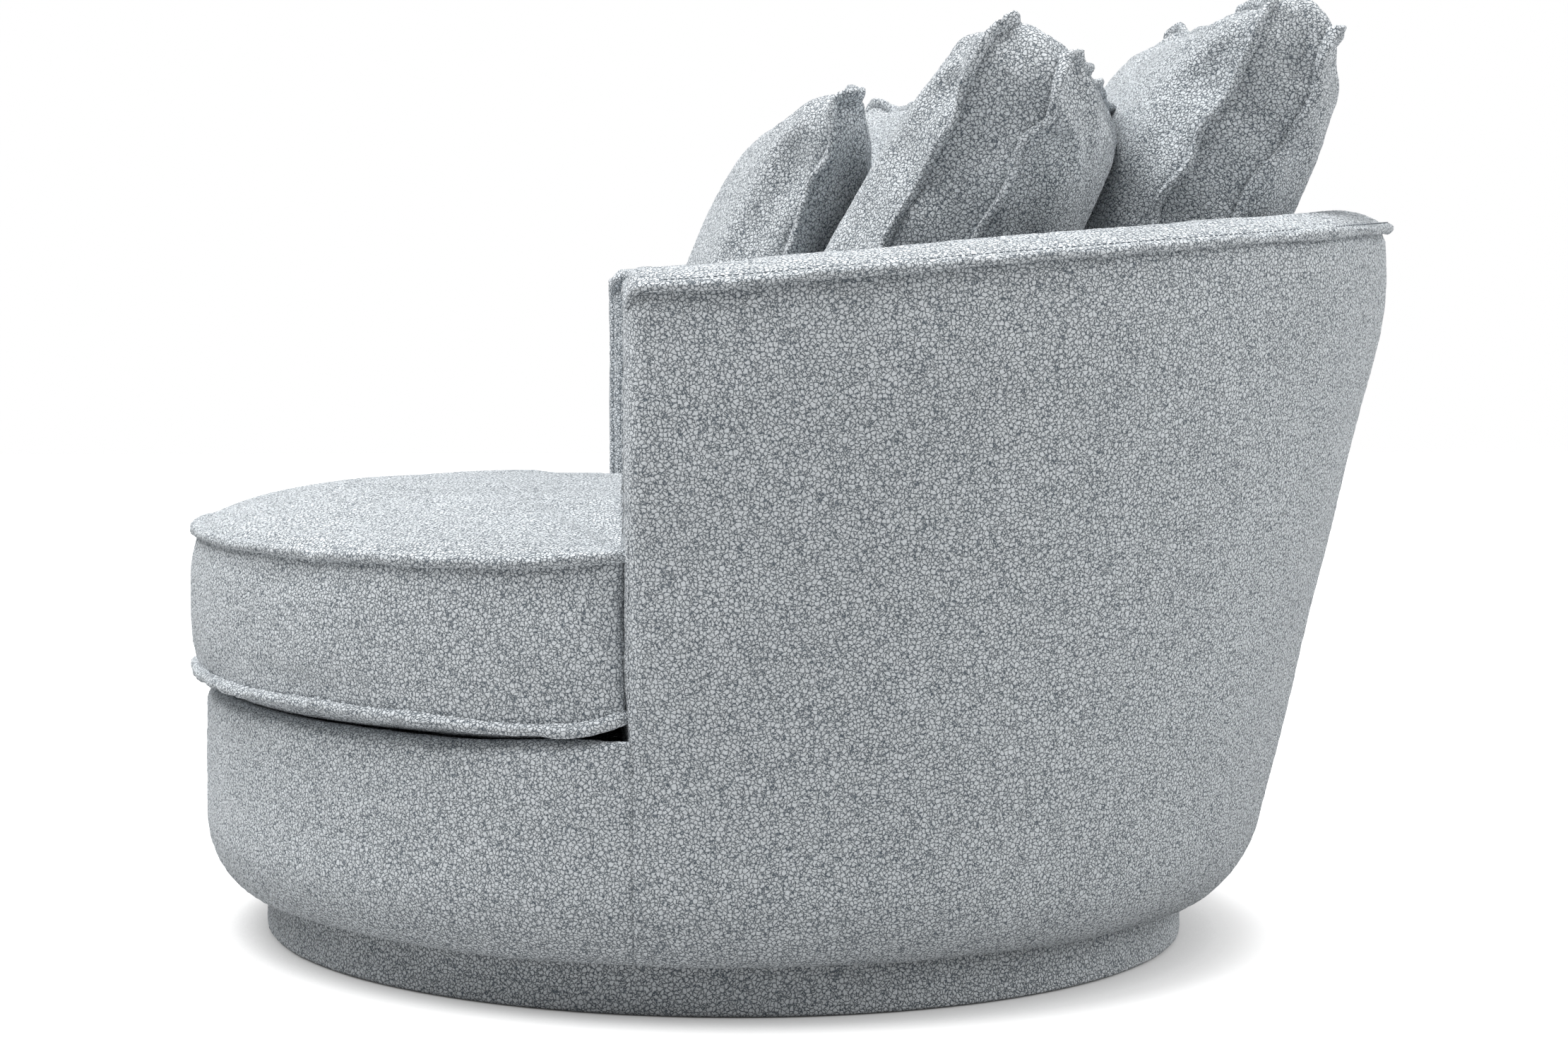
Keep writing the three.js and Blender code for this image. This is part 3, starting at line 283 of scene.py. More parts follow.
def looped_pile(name, loop_colour, gap_shade_colour, loop_width, depth):
    """Bouclé: curled loops of wool-blend yarn about 4 mm across, pale on top, with painted shade in the thin
    gaps between them, dull from every side with a soft pale edge where it turns away."""
    material, tree, shader, place = new_material(name)
    wander = add_node(tree, "ShaderNodeTexNoise", {"Vector": place}, Scale=1.1 / loop_width, Detail=1.0)
    pushed = add_node(tree, "ShaderNodeVectorMath", {0: wander.outputs["Color"]}, operation="SCALE",
                      Scale=loop_width * 1.1)
    bent = add_node(tree, "ShaderNodeVectorMath", {0: place, 1: pushed.outputs[0]}, operation="ADD")
    gaps = add_node(tree, "ShaderNodeTexVoronoi", {"Vector": bent.outputs[0]}, feature="DISTANCE_TO_EDGE",
                    Scale=1 / loop_width, Randomness=1.0)
    crest = add_node(tree, "ShaderNodeMapRange", {"Value": gaps.outputs["Distance"]},
                     interpolation_type="SMOOTHSTEP", From_Min=0.0, From_Max=0.2, To_Min=0.0, To_Max=1.0)
    curl = add_node(tree, "ShaderNodeTexNoise", {"Vector": place}, Scale=2.4 / loop_width, Detail=2.0)
    height = add_node(tree, "ShaderNodeMath", {0: curl.outputs["Fac"], 2: crest.outputs[0]},
                      operation="MULTIPLY_ADD")
    height.inputs[1].default_value = 0.9
    pale = add_node(tree, "ShaderNodeMapRange", {"Value": height.outputs[0]}, interpolation_type="SMOOTHSTEP",
                    From_Min=0.35, From_Max=1.15, To_Min=0.0, To_Max=1.0)
    # The darker colour in the gaps between the loops is painted shade.
    tone = add_node(tree, "ShaderNodeMix", {"Factor": pale.outputs[0]}, data_type="RGBA",
                    A=linear(gap_shade_colour), B=linear(loop_colour))
    broad = add_node(tree, "ShaderNodeTexNoise", {"Vector": place}, Scale=9.0, Detail=2.0)
    lightness = add_node(tree, "ShaderNodeMapRange", {"Value": broad.outputs["Fac"]},
                         To_Min=0.95, To_Max=1.05)
    shade = add_node(tree, "ShaderNodeVectorMath", {0: tone.outputs["Result"], "Scale": lightness.outputs[0]},
                     operation="SCALE")
    raised = add_node(tree, "ShaderNodeBump", {"Height": height.outputs[0]}, Strength=0.8, Distance=depth)
    set_up(tree, shader, {"Base Color": shade.outputs[0], "Normal": raised.outputs[0]}, Roughness=0.95,
           Specular_IOR_Level=0.2, Sheen_Weight=0.15, Sheen_Roughness=0.5)
    return material


def sewing_thread(name, colour):
    """Spun polyester thread: a soft grey, which is painted shade of the dents the stitches pull into the
    pile, with the twist of its plies.
    """
    material, tree, shader, place = new_material(name)
    twist = add_node(tree, "ShaderNodeTexNoise", {"Vector": place}, Scale=1 / 0.0004, Detail=1.0)
    raised = add_node(tree, "ShaderNodeBump", {"Height": twist.outputs["Fac"]}, Strength=0.4, Distance=0.0001)
    set_up(tree, shader, {"Normal": raised.outputs[0]}, Base_Color=linear(colour), Roughness=0.7)
    return material


# The second colour is painted shade for the gaps between the loops.
boucle = looped_pile("boucle_wool_blend", "#e5eaee", "#5f6972", 0.0039, 0.0016)
# The thread is real, but its dark grey is painted shade of the stitch dents along the seams.
thread = sewing_thread("spun_polyester_thread", "#5f676d")


# Meshes

class Form:
    """Points and faces that grow part by part into one mesh."""

    def __init__(self):
        self.points = []
        self.faces = []
        self.count = 0

    def add(self, points, faces):
        points = np.asarray(points, dtype=float).reshape(-1, 3)
        self.faces.extend([tuple(int(i) + self.count for i in face) for face in faces])
        self.points.append(points)
        self.count += len(points)
        return self

    def mesh(self, name):
        mesh = bpy.data.meshes.new(name)
        mesh.from_pydata(np.concatenate(self.points).tolist(), [], self.faces)
        mesh.update()
        mesh.polygons.foreach_set("use_smooth", [True] * len(mesh.polygons))
        mesh.set_sharp_from_angle(angle=math.radians(SHARP_EDGE))
        return mesh


def tube_faces(rings, count, closed=False):
    """Faces of equal closed rings in order: a tube with capped ends, or closed on itself."""
    faces = []
    for ring in range(rings if closed else rings - 1):
        a, b = ring * count, (ring + 1) % rings * count
        for i in range(count):
            j = (i + 1) % count
            faces.append((a + i, a + j, b + j, b + i))
    if not closed:
        faces.append(tuple(reversed(range(count))))
        faces.append(tuple(range((rings - 1) * count, rings * count)))
    return faces


def coordinates(mesh):
    values = np.empty(len(mesh.vertices) * 3)
    mesh.vertices.foreach_get("co", values)
    return values.reshape(-1, 3)


def set_coordinates(mesh, points):
    mesh.vertices.foreach_set("co", np.ascontiguousarray(points).ravel())
    mesh.update()


def normals(mesh):
    values = np.empty(len(mesh.vertices) * 3)
    mesh.vertices.foreach_get("normal", values)
    return values.reshape(-1, 3)


def new_piece(name, mesh, material):
    piece = bpy.data.objects.new(name, mesh)
    scene.collection.objects.link(piece)
    mesh.materials.append(material)
    return piece


def face_outwards(mesh):
    """Turns all the faces over where the mesh's signed volume is negative."""
    points = coordinates(mesh)
    volume = 0.0
    for polygon in mesh.polygons:
        corners = points[list(polygon.vertices)]
        for i in range(1, len(corners) - 1):
            volume += np.dot(corners[0], np.cross(corners[i], corners[i + 1]))
    if volume < 0:
        mesh.flip_normals()
    mesh.update()


WAVES = [(chance.normal(size=3), chance.uniform(0, 2 * math.pi)) for _ in range(24)]


def unevenness(points, wavelength):
    """A smooth random height from -1 to 1 at each point, with hills about a wavelength apart."""
    total = np.zeros(len(points))
    for direction, phase in WAVES:
        total += np.sin(points @ (direction / np.linalg.norm(direction)) * (2 * math.pi / wavelength) + phase)
    return total / math.sqrt(2 * len(WAVES))


def soften(mesh, hills, wavelength, nub, still_below=-math.inf):
    """Padding shows through as low hills, and the loops stand a little proud all over."""
    points = coordinates(mesh)
    lift = hills * unevenness(points, wavelength) + nub * chance.uniform(-1, 1, len(points))
    lift[points[:, 2] < still_below] = 0
    set_coordinates(mesh, points + normals(mesh) * lift[:, None])


def seam_lip(form, path, outward, lip, closed, ears=None):
    """Two layers of looped cloth sewn back to back: a thick round lip along a seam that wanders a little."""
    if closed:
        tangent = np.roll(path, -1, 0) - np.roll(path, 1, 0)
    else:
        tangent = np.gradient(path, axis=0)
    tangent /= np.linalg.norm(tangent, axis=1)[:, None]
    outward = outward - tangent * (outward * tangent).sum(1)[:, None]
    outward /= np.linalg.norm(outward, axis=1)[:, None]
    upward = np.cross(tangent, outward)
    longer = 1 if ears is None else ears

    def wander(measure, offset):
        share, spacing = LIP_WANDER[measure]
        return share * unevenness(path + offset, spacing)

    reach = lip["reach"] * (1 + wander("reach", 0.0)) * longer
    thick = lip["thickness"] * (1 + wander("thickness", 2.0))
    bend = lip["thickness"] * wander("bend", 1.0) * longer
    rings = []
    for out, up in LIP_PROFILE:
        risen_by = up * thick + bend * max(out, 0)
        rings.append(path + outward * (out * reach)[:, None] + upward * risen_by[:, None])
    form.add(np.stack(rings, axis=1), tube_faces(len(path), len(LIP_PROFILE), closed))


def add_stitches(name, lines, body):
    """A row of short threads that lie in the cloth beside a sewn seam."""
    form = Form()
    for line in lines:
        line = np.asarray(line)
        steps = np.linalg.norm(np.diff(line, axis=0), axis=1)
        along = np.concatenate([[0], np.cumsum(steps)])
        for start in np.arange(STITCH_PITCH / 2, along[-1] - STITCH_PITCH, STITCH_PITCH):
            places = [start + STITCH_LENGTH * share for share, _ in STITCH_ENDS]
            middle = np.array([[np.interp(place, along, line[:, axis]) for axis in range(3)]
                               for place in places])
            tangent = middle[-1] - middle[0]
            tangent /= np.linalg.norm(tangent)
            side = np.cross(tangent, (0, 0, 1.0))
            side /= np.linalg.norm(side)
            over = np.cross(side, tangent)
            rings = []
            for point, (_, thickness) in zip(middle, STITCH_ENDS):
                for k in range(STITCH_SIDES):
                    angle = 2 * math.pi * k / STITCH_SIDES
                    out = side * math.cos(angle) + over * math.sin(angle)
                    rings.append(point + out * STITCH_RADIUS * thickness)
            form.add(rings, tube_faces(len(places), STITCH_SIDES))
    piece = new_piece(name, form.mesh(name), thread)
    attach(piece, body)


# Tub walls: straight from a lower circle to an upper one, all ending near the plane of the arm fronts

def wall_circle(half, back):
    """The circle through the back and both arms' ends: its centre's Y, its radius and half its sweep."""
    centre = (back ** 2 - ARM_END ** 2 - half ** 2) / (2 * (back + ARM_END))
    radius = back - centre
    return centre, radius, math.atan2(half, -ARM_END - centre)


def risen(z):
    """0 at the hem and 1 at the top of the wall."""
    return (z - HEM_HEIGHT) / (TOP_HEIGHT - HEM_HEIGHT)


HALF_FOOT = math.sqrt(DRUM_RADIUS ** 2 - ARM_END ** 2)
DECK_HALF = HALF_FOOT + ARM_FLARE * risen(DECK_HEIGHT) - ARM_THICKNESS_AT_DECK
DECK_BACK = DRUM_RADIUS + BACK_RAKE * risen(DECK_HEIGHT) - BACK_THICKNESS_AT_DECK
OUTER_FOOT = wall_circle(HALF_FOOT, DRUM_RADIUS)
OUTER_TOP = wall_circle(HALF_FOOT + ARM_FLARE, DRUM_RADIUS + BACK_RAKE)
INNER_DECK = wall_circle(DECK_HALF, DECK_BACK)
INNER_TOP = wall_circle(HALF_FOOT + ARM_FLARE - ARM_THICKNESS, DRUM_RADIUS + BACK_RAKE - BACK_THICKNESS)
WALL_LENGTH = OUTER_TOP[1] * OUTER_TOP[2] * 2


def on_wall(lower, upper, turn, share, z):
    def on_circle(circle):
        centre, radius, sweep = circle
        return np.array([radius * math.sin(turn * sweep), centre + radius * math.cos(turn * sweep), z])
    return mix(on_circle(lower), on_circle(upper), share)


def backwards(turn):
    """0 at the arm fronts and 1 in the middle of the back."""
    y = on_wall(OUTER_FOOT, OUTER_TOP, turn, 1, TOP_HEIGHT)[1]
    return (y + ARM_END) / (DRUM_RADIUS + BACK_RAKE + ARM_END)


def rim_height(turn):
    along = backwards(turn)
    rising = np.hypot(along, RIM_NOSE) - RIM_NOSE
    return RIM_FRONT_HEIGHT + RIM_RISE * rising ** RIM_QUICKNESS


def rolled_in(turn, z):
    """The stuffed back rolls inwards under the rim's outer seam, most in the middle of the back."""
    under = min(max((rim_height(turn) - z) / WALL_TOP_RUN, 0), 1)
    return WALL_TOP_ROUND * mix(WALL_SIDE_ROUND, 1, backwards(turn)) * (1 - under) ** 2


def wall_point(turn, share, depth, z):
    """A point of the wall at a height, at a share of the way from its outside (0) to its inside (1)."""
    outer = on_wall(OUTER_FOOT, OUTER_TOP, turn, risen(z), z)
    inner = on_wall(INNER_DECK, INNER_TOP, turn, (z - DECK_HEIGHT) / (TOP_HEIGHT - DECK_HEIGHT), z)
    across = inner - outer
    depth += (1 - share) * rolled_in(turn, z)
    return outer + across * (share + depth / np.linalg.norm(across))


def drawn_in(points, inset):
    """Moves the points of an arm's end towards the middle of its front."""
    side = 1 if points[0, 0] > 0 else -1
    outer = np.array([wall_point(side, 0, 0, z)[0] for z in points[:, 2]])
    inner = np.array([wall_point(side, 1, 0, z)[0] for z in points[:, 2]])
    middle, half = (outer + inner) / 2, np.abs(outer - inner) / 2
    centre = (DECK_HEIGHT + RIM_FRONT_HEIGHT) / 2
    high = np.clip((points[:, 2] - centre) / (RIM_FRONT_HEIGHT - centre), 0, 1)
    moved = points.copy()
    moved[:, 0] = middle + (points[:, 0] - middle) * (1 - inset / half)
    moved[:, 2] -= inset * high
    return moved


def join_dip(distance):
    """The plain upright seam between the outside cover and the drum's cover, a shallow valley."""
    return JOIN_DIP * math.exp(-(distance / JOIN_DIP_WIDTH) ** 2)


def nose_rings(section_at, side):
    """A cover's sections carried forward from the wall's end and round the soft front edge of the arm.
    Below the deck they run straight on to the seam with the drum's cover."""
    near, before = side, side * NEAR_END
    places = section_at(near)
    ring = np.array([wall_point(near, *place) for place in places])
    behind = np.array([wall_point(before, *place) for place in section_at(before)])
    lean = (ring - behind) / (behind[:, 1:2] - ring[:, 1:2])
    arm = np.array([1.0 if share > 0 else smooth((z - ARM_FOOT_LOW) / (ARM_FOOT_HIGH - ARM_FOOT_LOW))
                    for share, _, z in places])
    straight = -ARM_FRONT - ARM_END - ARM_ROUND
    rings = []
    for step in range(1, NOSE_STEPS + 1):
        turned = max(step - 1, 0) / (NOSE_STEPS - 1) * math.pi / 2
        forward = straight + ARM_ROUND * math.sin(turned)
        inset = ARM_ROUND * (1 - math.cos(turned))
        reach = mix((-JOIN_SEAM - ARM_END) * step / NOSE_STEPS, forward, arm)
        moved = drawn_in(ring + lean * reach[:, None], inset * arm)
        before_seam = (-JOIN_SEAM - ARM_END) * (1 - step / NOSE_STEPS)
        moved[:, 0] -= side * join_dip(before_seam) * (1 - arm)
        rings.append(moved)
    return rings


def wall_rings(section_at):
    """A cover's sections all the way from one arm's front to the other's."""
    rings = list(reversed(nose_rings(section_at, -1)))
    for turn in np.linspace(-1, 1, int(WALL_LENGTH / COVER_STEP)):
        rings.append([wall_point(turn, *place) for place in section_at(turn)])
    return rings + nose_rings(section_at, 1)


def wall_form(section_at):
    rings = wall_rings(section_at)
    return Form().add(rings, tube_faces(len(rings), len(rings[0])))


def lower_edge(offset, steps):
    """The drum's soft lower edge, from the plinth out and up to the wall, as depths and heights."""
    deepest = PLINTH_RECESS - HEM_GAP
    edge = []
    for i in range(steps + 1):
        angle = i / steps * math.pi / 2
        depth = offset + (deepest - offset) * (1 - math.sin(angle))
        edge.append((depth, HEM_HEIGHT + offset + (LOWER_EDGE_RISE - offset) * (1 - math.cos(angle))))
    return edge


def groove(distance):
    """How far the padded cloth is drawn in at a distance from a sewn seam."""
    return SEAM_GROOVE * np.exp(-(distance / SEAM_GROOVE_WIDTH) ** 2)


def add_cover(name, form, body, nodes, padding):
    mesh = form.mesh(name)
    face_outwards(mesh)
    soften(mesh, **padding)
    piece = new_piece(name, mesh, boucle)
    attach(piece, body)
    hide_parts(*nodes)


def add_outside_cover():
    steps = int((RIM_FRONT_HEIGHT - LOWER_EDGE_RISE) / COVER_STEP)

    def section(turn):
        top = rim_height(turn)
        edge = lower_edge(0, EDGE_STEPS)
        outside = edge + [(0, mix(edge[-1][1], top, i / steps)) for i in range(1, steps + 1)]
        inside = [(SKIN, top), (SKIN, DECK_HEIGHT)] + list(reversed(lower_edge(SKIN, INSIDE_EDGE_STEPS)))
        return [(0, depth + groove(top - RIM_LIP["thickness"] / 2 - z), z) for depth, z in outside + inside]

    add_cover("outside_upholstery", wall_form(section), "chair",
              ["outside_cover", "drum_padding_rear", "tub_padding"], WALL_PADDING)


def add_inside_cover():
    steps = int((RIM_FRONT_HEIGHT - INSIDE_FOOT) / COVER_STEP)

    def section(turn):
        top = rim_height(turn) + RIM_TILT
        face = [(1, 0, mix(INSIDE_FOOT, top, i / steps)) for i in range(steps + 1)]
        return face + [(1, -SKIN, top), (1, -SKIN, INSIDE_FOOT)]

    add_cover("inside_upholstery", wall_form(section), "chair", ["inside_cover"], WALL_PADDING)


def rim_top(turn, share):
    """The height of the rim's cloth, from the outer seam at share 0 to the inner one at 1."""
    return rim_height(turn) + RIM_TILT * share + RIM_CROWN * (1 - (2 * share - 1) ** 2) ** RIM_CROWN_FULLNESS


def rim_edge(share):
    """One of the rim's seams, from arm to arm."""
    return np.array(wall_rings(lambda turn: [(share, 0, rim_top(turn, share))])).reshape(-1, 3)


def add_rim_cover():
    def section(turn):
        top = [(i / RIM_STEPS, 0, rim_top(turn, i / RIM_STEPS)) for i in range(RIM_STEPS + 1)]
        under = [(share, 0, z - SKIN) for share, _, z in reversed(top[1:-1:3])]
        return top + under

    form = wall_form(section)
    for share in (0, 1):
        path = rim_edge(share)
        outward = path - rim_edge(1 - share)
        outward[:, 2] = -RIM_LIP["droop"] * np.linalg.norm(outward[:, :2], axis=1)
        seam_lip(form, path, outward, RIM_LIP, closed=False)
    add_cover("rim_upholstery", form, "chair", ["rim_cover"], RIM_PADDING)
    turns = np.linspace(-STITCHED_TURN, STITCHED_TURN, int(WALL_LENGTH / SEAM_STEP))
    lift = RIM_LIP["thickness"] * RIM_LIP["stitched_at"]
    lines = [[wall_point(turn, share, proud, rim_top(turn, share) + lift) for turn in turns]
             for share, proud in ((0, -STITCH_PROUD), (1, STITCH_PROUD))]
    add_stitches("rim_top_stitching", lines, "chair")


def arm_outline(turn):
    """The arm's end from its foot on the outside, over the top, to its foot on the inside."""
    outer, inner = rim_height(turn), rim_height(turn) + RIM_TILT
    side = int((outer - INSIDE_FOOT) / COVER_STEP)
    over = int(ARM_THICKNESS / SEAM_STEP)
    outline = [(0, 0, mix(INSIDE_FOOT, outer, i / side)) for i in range(side)]
    outline += [(i / over, 0, rim_top(turn, i / over)) for i in range(over + 1)]
    return outline + [(1, 0, mix(inner, INSIDE_FOOT, i / side)) for i in range(1, side + 1)]


def add_arm_panel(side, turn):
    """The panel that closes an arm's front, with a lip from the top outer corner down the inside."""
    edge = nose_rings(arm_outline, turn)[-1]

    def ring(inset, forward):
        moved = drawn_in(edge, inset)
        moved[:, 1] -= forward
        return moved

    rings = [ring(*place) for place in PANEL_PUFF]
    count = len(edge)
    form = Form().add(np.concatenate(rings), tube_faces(len(rings), count))
    seam = ring(*PANEL_SEAM)
    outward = edge - ring(PANEL_INSIDE, 0.0)
    outward[:, 1] = 0
    outward /= np.maximum(np.linalg.norm(outward, axis=1), 1e-6)[:, None]
    outward[:, 1] = -PANEL_SEAM_FORWARD
    first = int((RIM_FRONT_HEIGHT - DECK_HEIGHT - PANEL_LIP_START) / COVER_STEP)
    standing = np.clip((np.arange(first, count) - first + PANEL_LIP_TIP) / PANEL_LIP_FADE, 0, 1)
    seam_lip(form, seam[first:], outward[first:], PANEL_LIP, closed=False, ears=standing)
    add_cover(f"arm_front_{side}", form, "chair", [f"arm_front_panel_{side}"], PANEL_PADDING)


def join_half(z):
    """Half the chair's width at the upright seam between the outside cover and the drum's cover."""
    near, before = wall_point(1, 0, 0, z), wall_point(NEAR_END, 0, 0, z)
    lean = (near[0] - before[0]) / (before[1] - near[1])
    return near[0] + lean * (-JOIN_SEAM - ARM_END)


def add_drum_cover():
    """The front half of the drum, round from one upright seam to the other and under the seat cushion."""
    length = 2 * DRUM_RADIUS * math.acos(-JOIN_SEAM / DRUM_RADIUS)
    ends = [1 - 2 * distance / length for distance in JOIN_RINGS]
    middle = np.linspace(-1, 1, int(length / COVER_STEP))[1:-1]
    turns = np.concatenate([[-end for end in ends], middle, ends[::-1]])

    def section(turn):
        away = smooth((1 - abs(turn)) * length / 2 / DRUM_TIGHT_REACH)
        y = -DRUM_RADIUS * math.cos(turn * length / 2 / DRUM_RADIUS)
        crest = DECK_HEIGHT + DRUM_CREST + DRUM_CREST_RISE * smooth((y - SEAT_LIFT_START) / DRUM_CREST_RUN)
        round_edge = DRUM_TOP_ROUND * mix(DRUM_TOP_TIGHTNESS, 1, away)
        arc = []
        for i in range(DRUM_TOP_STEPS + 1):
            angle = i * math.pi / (2 * DRUM_TOP_STEPS)
            arc.append((round_edge * (1 - math.cos(angle)), crest - round_edge * (1 - math.sin(angle))))
        edge = lower_edge(0, EDGE_STEPS)
        steps = int((DECK_HEIGHT - edge[-1][1]) / COVER_STEP)
        wall = [(0, mix(edge[-1][1], arc[0][1], i / steps)) for i in range(1, steps)]
        low = DECK_HEIGHT - SEAT_GAP
        fall = [(mix(arc[-1][0], DRUM_TOP_DEPTH, share), mix(crest, low, smooth(share)))
                for share in (0.25, 0.5, 0.75, 1)]
        inside = [(DRUM_TOP_DEPTH, low - SKIN), (DRUM_TOP_ROUND + SKIN, low - SKIN),
                  (SKIN, crest - DRUM_TOP_ROUND * 1.5)]
        return edge + wall + arc + fall + inside + list(reversed(lower_edge(SKIN, INSIDE_EDGE_STEPS)))

    rings = []
    for turn in turns:
        ring = []
        for depth, z in section(turn):
            flared = math.hypot(join_half(z), JOIN_SEAM)
            end = math.acos((-JOIN_SEAM - JOIN_OVERLAP) / flared)
            angle = turn * end
            beside = 1 - smooth((end - abs(angle)) / DRUM_BLEND)
            radius = mix(DRUM_RADIUS, flared, beside) - depth - join_dip((1 - abs(turn)) * length / 2)
            y = min(-radius * math.cos(angle), JOIN_SEAM + JOIN_OVERLAP)
            ring.append((radius * math.sin(angle), y, z))
        rings.append(ring)
    form = Form().add(rings, tube_faces(len(turns), len(rings[0])))
    add_cover("drum_upholstery", form, "chair", ["drum_cover", "drum_padding_front"], WALL_PADDING)


def add_plinth_cover():
    radius = DRUM_RADIUS - PLINTH_RECESS - PLINTH_SLIM
    count = int(2 * math.pi * radius / COVER_STEP)
    steps = int((PLINTH_COVER_RISE - SKIN) / COVER_STEP)
    foot = [(depth, PLINTH_FOOT + rise) for depth, rise in PLINTH_FOOT_ROUND]
    wall = [(0, mix(PLINTH_WALL_START, PLINTH_COVER_RISE, i / steps)) for i in range(steps + 1)]
    inside = [(PLINTH_SKIN, PLINTH_COVER_RISE), (PLINTH_SKIN, PLINTH_HEM_TOP), (PLINTH_HEM, PLINTH_HEM_TOP)]
    section = foot + wall + inside
    rings = []
    for i in range(count):
        angle = 2 * math.pi * i / count
        rings.append([((radius - depth) * math.sin(angle), -(radius - depth) * math.cos(angle), z)
                      for depth, z in section])
    form = Form().add(rings, tube_faces(count, len(section), closed=True))
    add_cover("plinth_upholstery", form, "plinth", ["plinth_cover"], PLINTH_PADDING)


# Cushions

def grid_cushion(edge, front_height, back_height, gusset, count, rows):
    """A closed cushion of even facets. edge gives the outline at a point of the unit square's rim.
    Returns its points, faces and the two seams' points in order round the cushion."""
    def at(i, j):
        s, t = 2 * i / count - 1, 2 * j / count - 1
        reach = max(abs(s), abs(t))
        if reach == 0:
            return s, t, np.zeros(2)
        return s, t, reach * edge(s / reach, t / reach)

    def index(i, j):
        return j * (count + 1) + i

    def border(loop, following):
        return list(zip(loop, following, following[1:] + following[:1], loop[1:] + loop[:1]))

    front, back = [], []
    for j in range(count + 1):
        for i in range(count + 1):
            s, t, place = at(i, j)
            front.append((*place, gusset / 2 + front_height(s, t)))
            back.append((*place, -gusset / 2 - back_height(s, t)))
    around = [(i, 0) for i in range(count)] + [(count, j) for j in range(count)]
    around += [(i, count) for i in range(count, 0, -1)] + [(0, j) for j in range(count, 0, -1)]
    rim = [index(i, j) for i, j in around]
    points = list(front)
    faces = []
    for j in range(count):
        for i in range(count):
            faces.append((index(i, j), index(i + 1, j), index(i + 1, j + 1), index(i, j + 1)))
    loop = list(rim)
    if gusset > 0:
        for row in range(1, rows):
            start = len(points)
            for corner in rim:
                u, v, _ = front[corner]
                points.append((u, v, gusset / 2 - gusset * row / rows))
            following = list(range(start, start + len(rim)))
            faces += border(loop, following)
            loop = following
    behind = {}
    for corner in rim:
        if gusset > 0:
            behind[corner] = len(points)
            points.append(back[corner])
        else:
            behind[corner] = corner
    for corner in range(len(back)):
        if corner not in behind:
            behind[corner] = len(points)
            points.append(back[corner])
    back_rim = [behind[corner] for corner in rim]
    if gusset > 0:
        faces += border(loop, back_rim)
    for j in range(count):
        for i in range(count):
            corners = [index(i, j), index(i, j + 1), index(i + 1, j + 1), index(i + 1, j)]
            faces.append(tuple(behind[corner] for corner in corners))
    return np.array(points), faces, rim, back_rim


def square_edge(width, height, corner, draw_in):
    """The outline of a square cushion: round corners, and sides that bow inwards between them."""
    half = np.array([width / 2, height / 2])

    def edge(s, t):
        point = np.array([s, t]) * half
        inner = half - corner
        over = np.abs(point) - inner
        if over[0] > 0 and over[1] > 0:
            return np.sign(point) * (inner + corner * over / np.linalg.norm(over))
        if abs(s) >= abs(t):
            along = abs(point[1]) / inner[1]
            return point - np.array([np.sign(s) * draw_in * (1 - along ** 2), 0])
        along = abs(point[0]) / inner[0]
        return point - np.array([0, np.sign(t) * draw_in * (1 - along ** 2)])
    return edge


def plump(crown, power=2.3, fullness=0.62):
    """The crown of a filled square panel: nearly flat in the middle and steep at its seams."""
    return lambda s, t: crown * max((1 - abs(s) ** power) * (1 - abs(t) ** power), 0) ** fullness


def cushion_turn(lean, turn):
    """Local axes: u across, v up the cushion, w out of its front."""
    lean, turn = math.radians(lean), math.radians(turn)
    rearward = Vector((-math.sin(turn), math.cos(turn), 0))
    up = Vector((0, 0, 1))
    u = Vector((math.cos(turn), math.sin(turn), 0))
    v = rearward * math.sin(lean) + up * math.cos(lean)
    w = rearward * -math.cos(lean) + up * math.sin(lean)
    return Matrix((u, v, w)).transposed()


def inflate(mesh, seams, pressure, most, gather, frames):
    """Fills the cover as Blender's cloth: the panels swell, and seams shorter than their cloth pucker.
    No point moves further than most."""
    piece = new_piece("cushion_in_the_making", mesh, boucle)
    start = coordinates(mesh)
    group = piece.vertex_groups.new(name="seams")
    group.add([int(i) for i in seams], 1.0, "REPLACE")
    cloth = piece.modifiers.new("cloth", "CLOTH")
    for setting, value in CLOTH.items():
        setattr(cloth.settings, setting, value)
    cloth.settings.uniform_pressure_force = pressure
    cloth.settings.shrink_max = gather
    cloth.settings.effector_weights.gravity = 0
    cloth.collision_settings.use_collision = False
    cloth.point_cache.frame_start = 1
    cloth.point_cache.frame_end = frames
    for step in range(1, frames + 1):
        scene.frame_set(step)
    settled = piece.evaluated_get(bpy.context.evaluated_depsgraph_get())
    moved = coordinates(settled.data) - start
    moved -= moved.mean(0)
    far = np.linalg.norm(moved, axis=1)
    moved *= (np.minimum(far, most) / np.maximum(far, 1e-9))[:, None]
    piece.modifiers.clear()
    scene.frame_set(1)
    bpy.data.objects.remove(piece)
    mesh.materials.clear()
    set_coordinates(mesh, start + moved)


def smoothed(mesh):
    """One level of subdivision, with the first points kept first."""
    piece = new_piece("cushion_in_the_making", mesh, boucle)
    piece.modifiers.new("finer", "SUBSURF").levels = 1
    depsgraph = bpy.context.evaluated_depsgraph_get()
    finer = bpy.data.meshes.new_from_object(piece.evaluated_get(depsgraph))
    bpy.data.objects.remove(piece)
    finer.materials.clear()
    return finer


def soft_limit(value, limit, roundness):
    """value, bent smoothly so that it never passes limit."""
    over = (value - limit) / roundness
    return limit - roundness * np.logaddexp(0, -over)


def between(loop_points):
    """A closed line with a point added midway between each pair."""
    middle = (loop_points + np.roll(loop_points, -1, 0)) / 2
    return np.stack([loop_points, middle], axis=1).reshape(-1, 3)


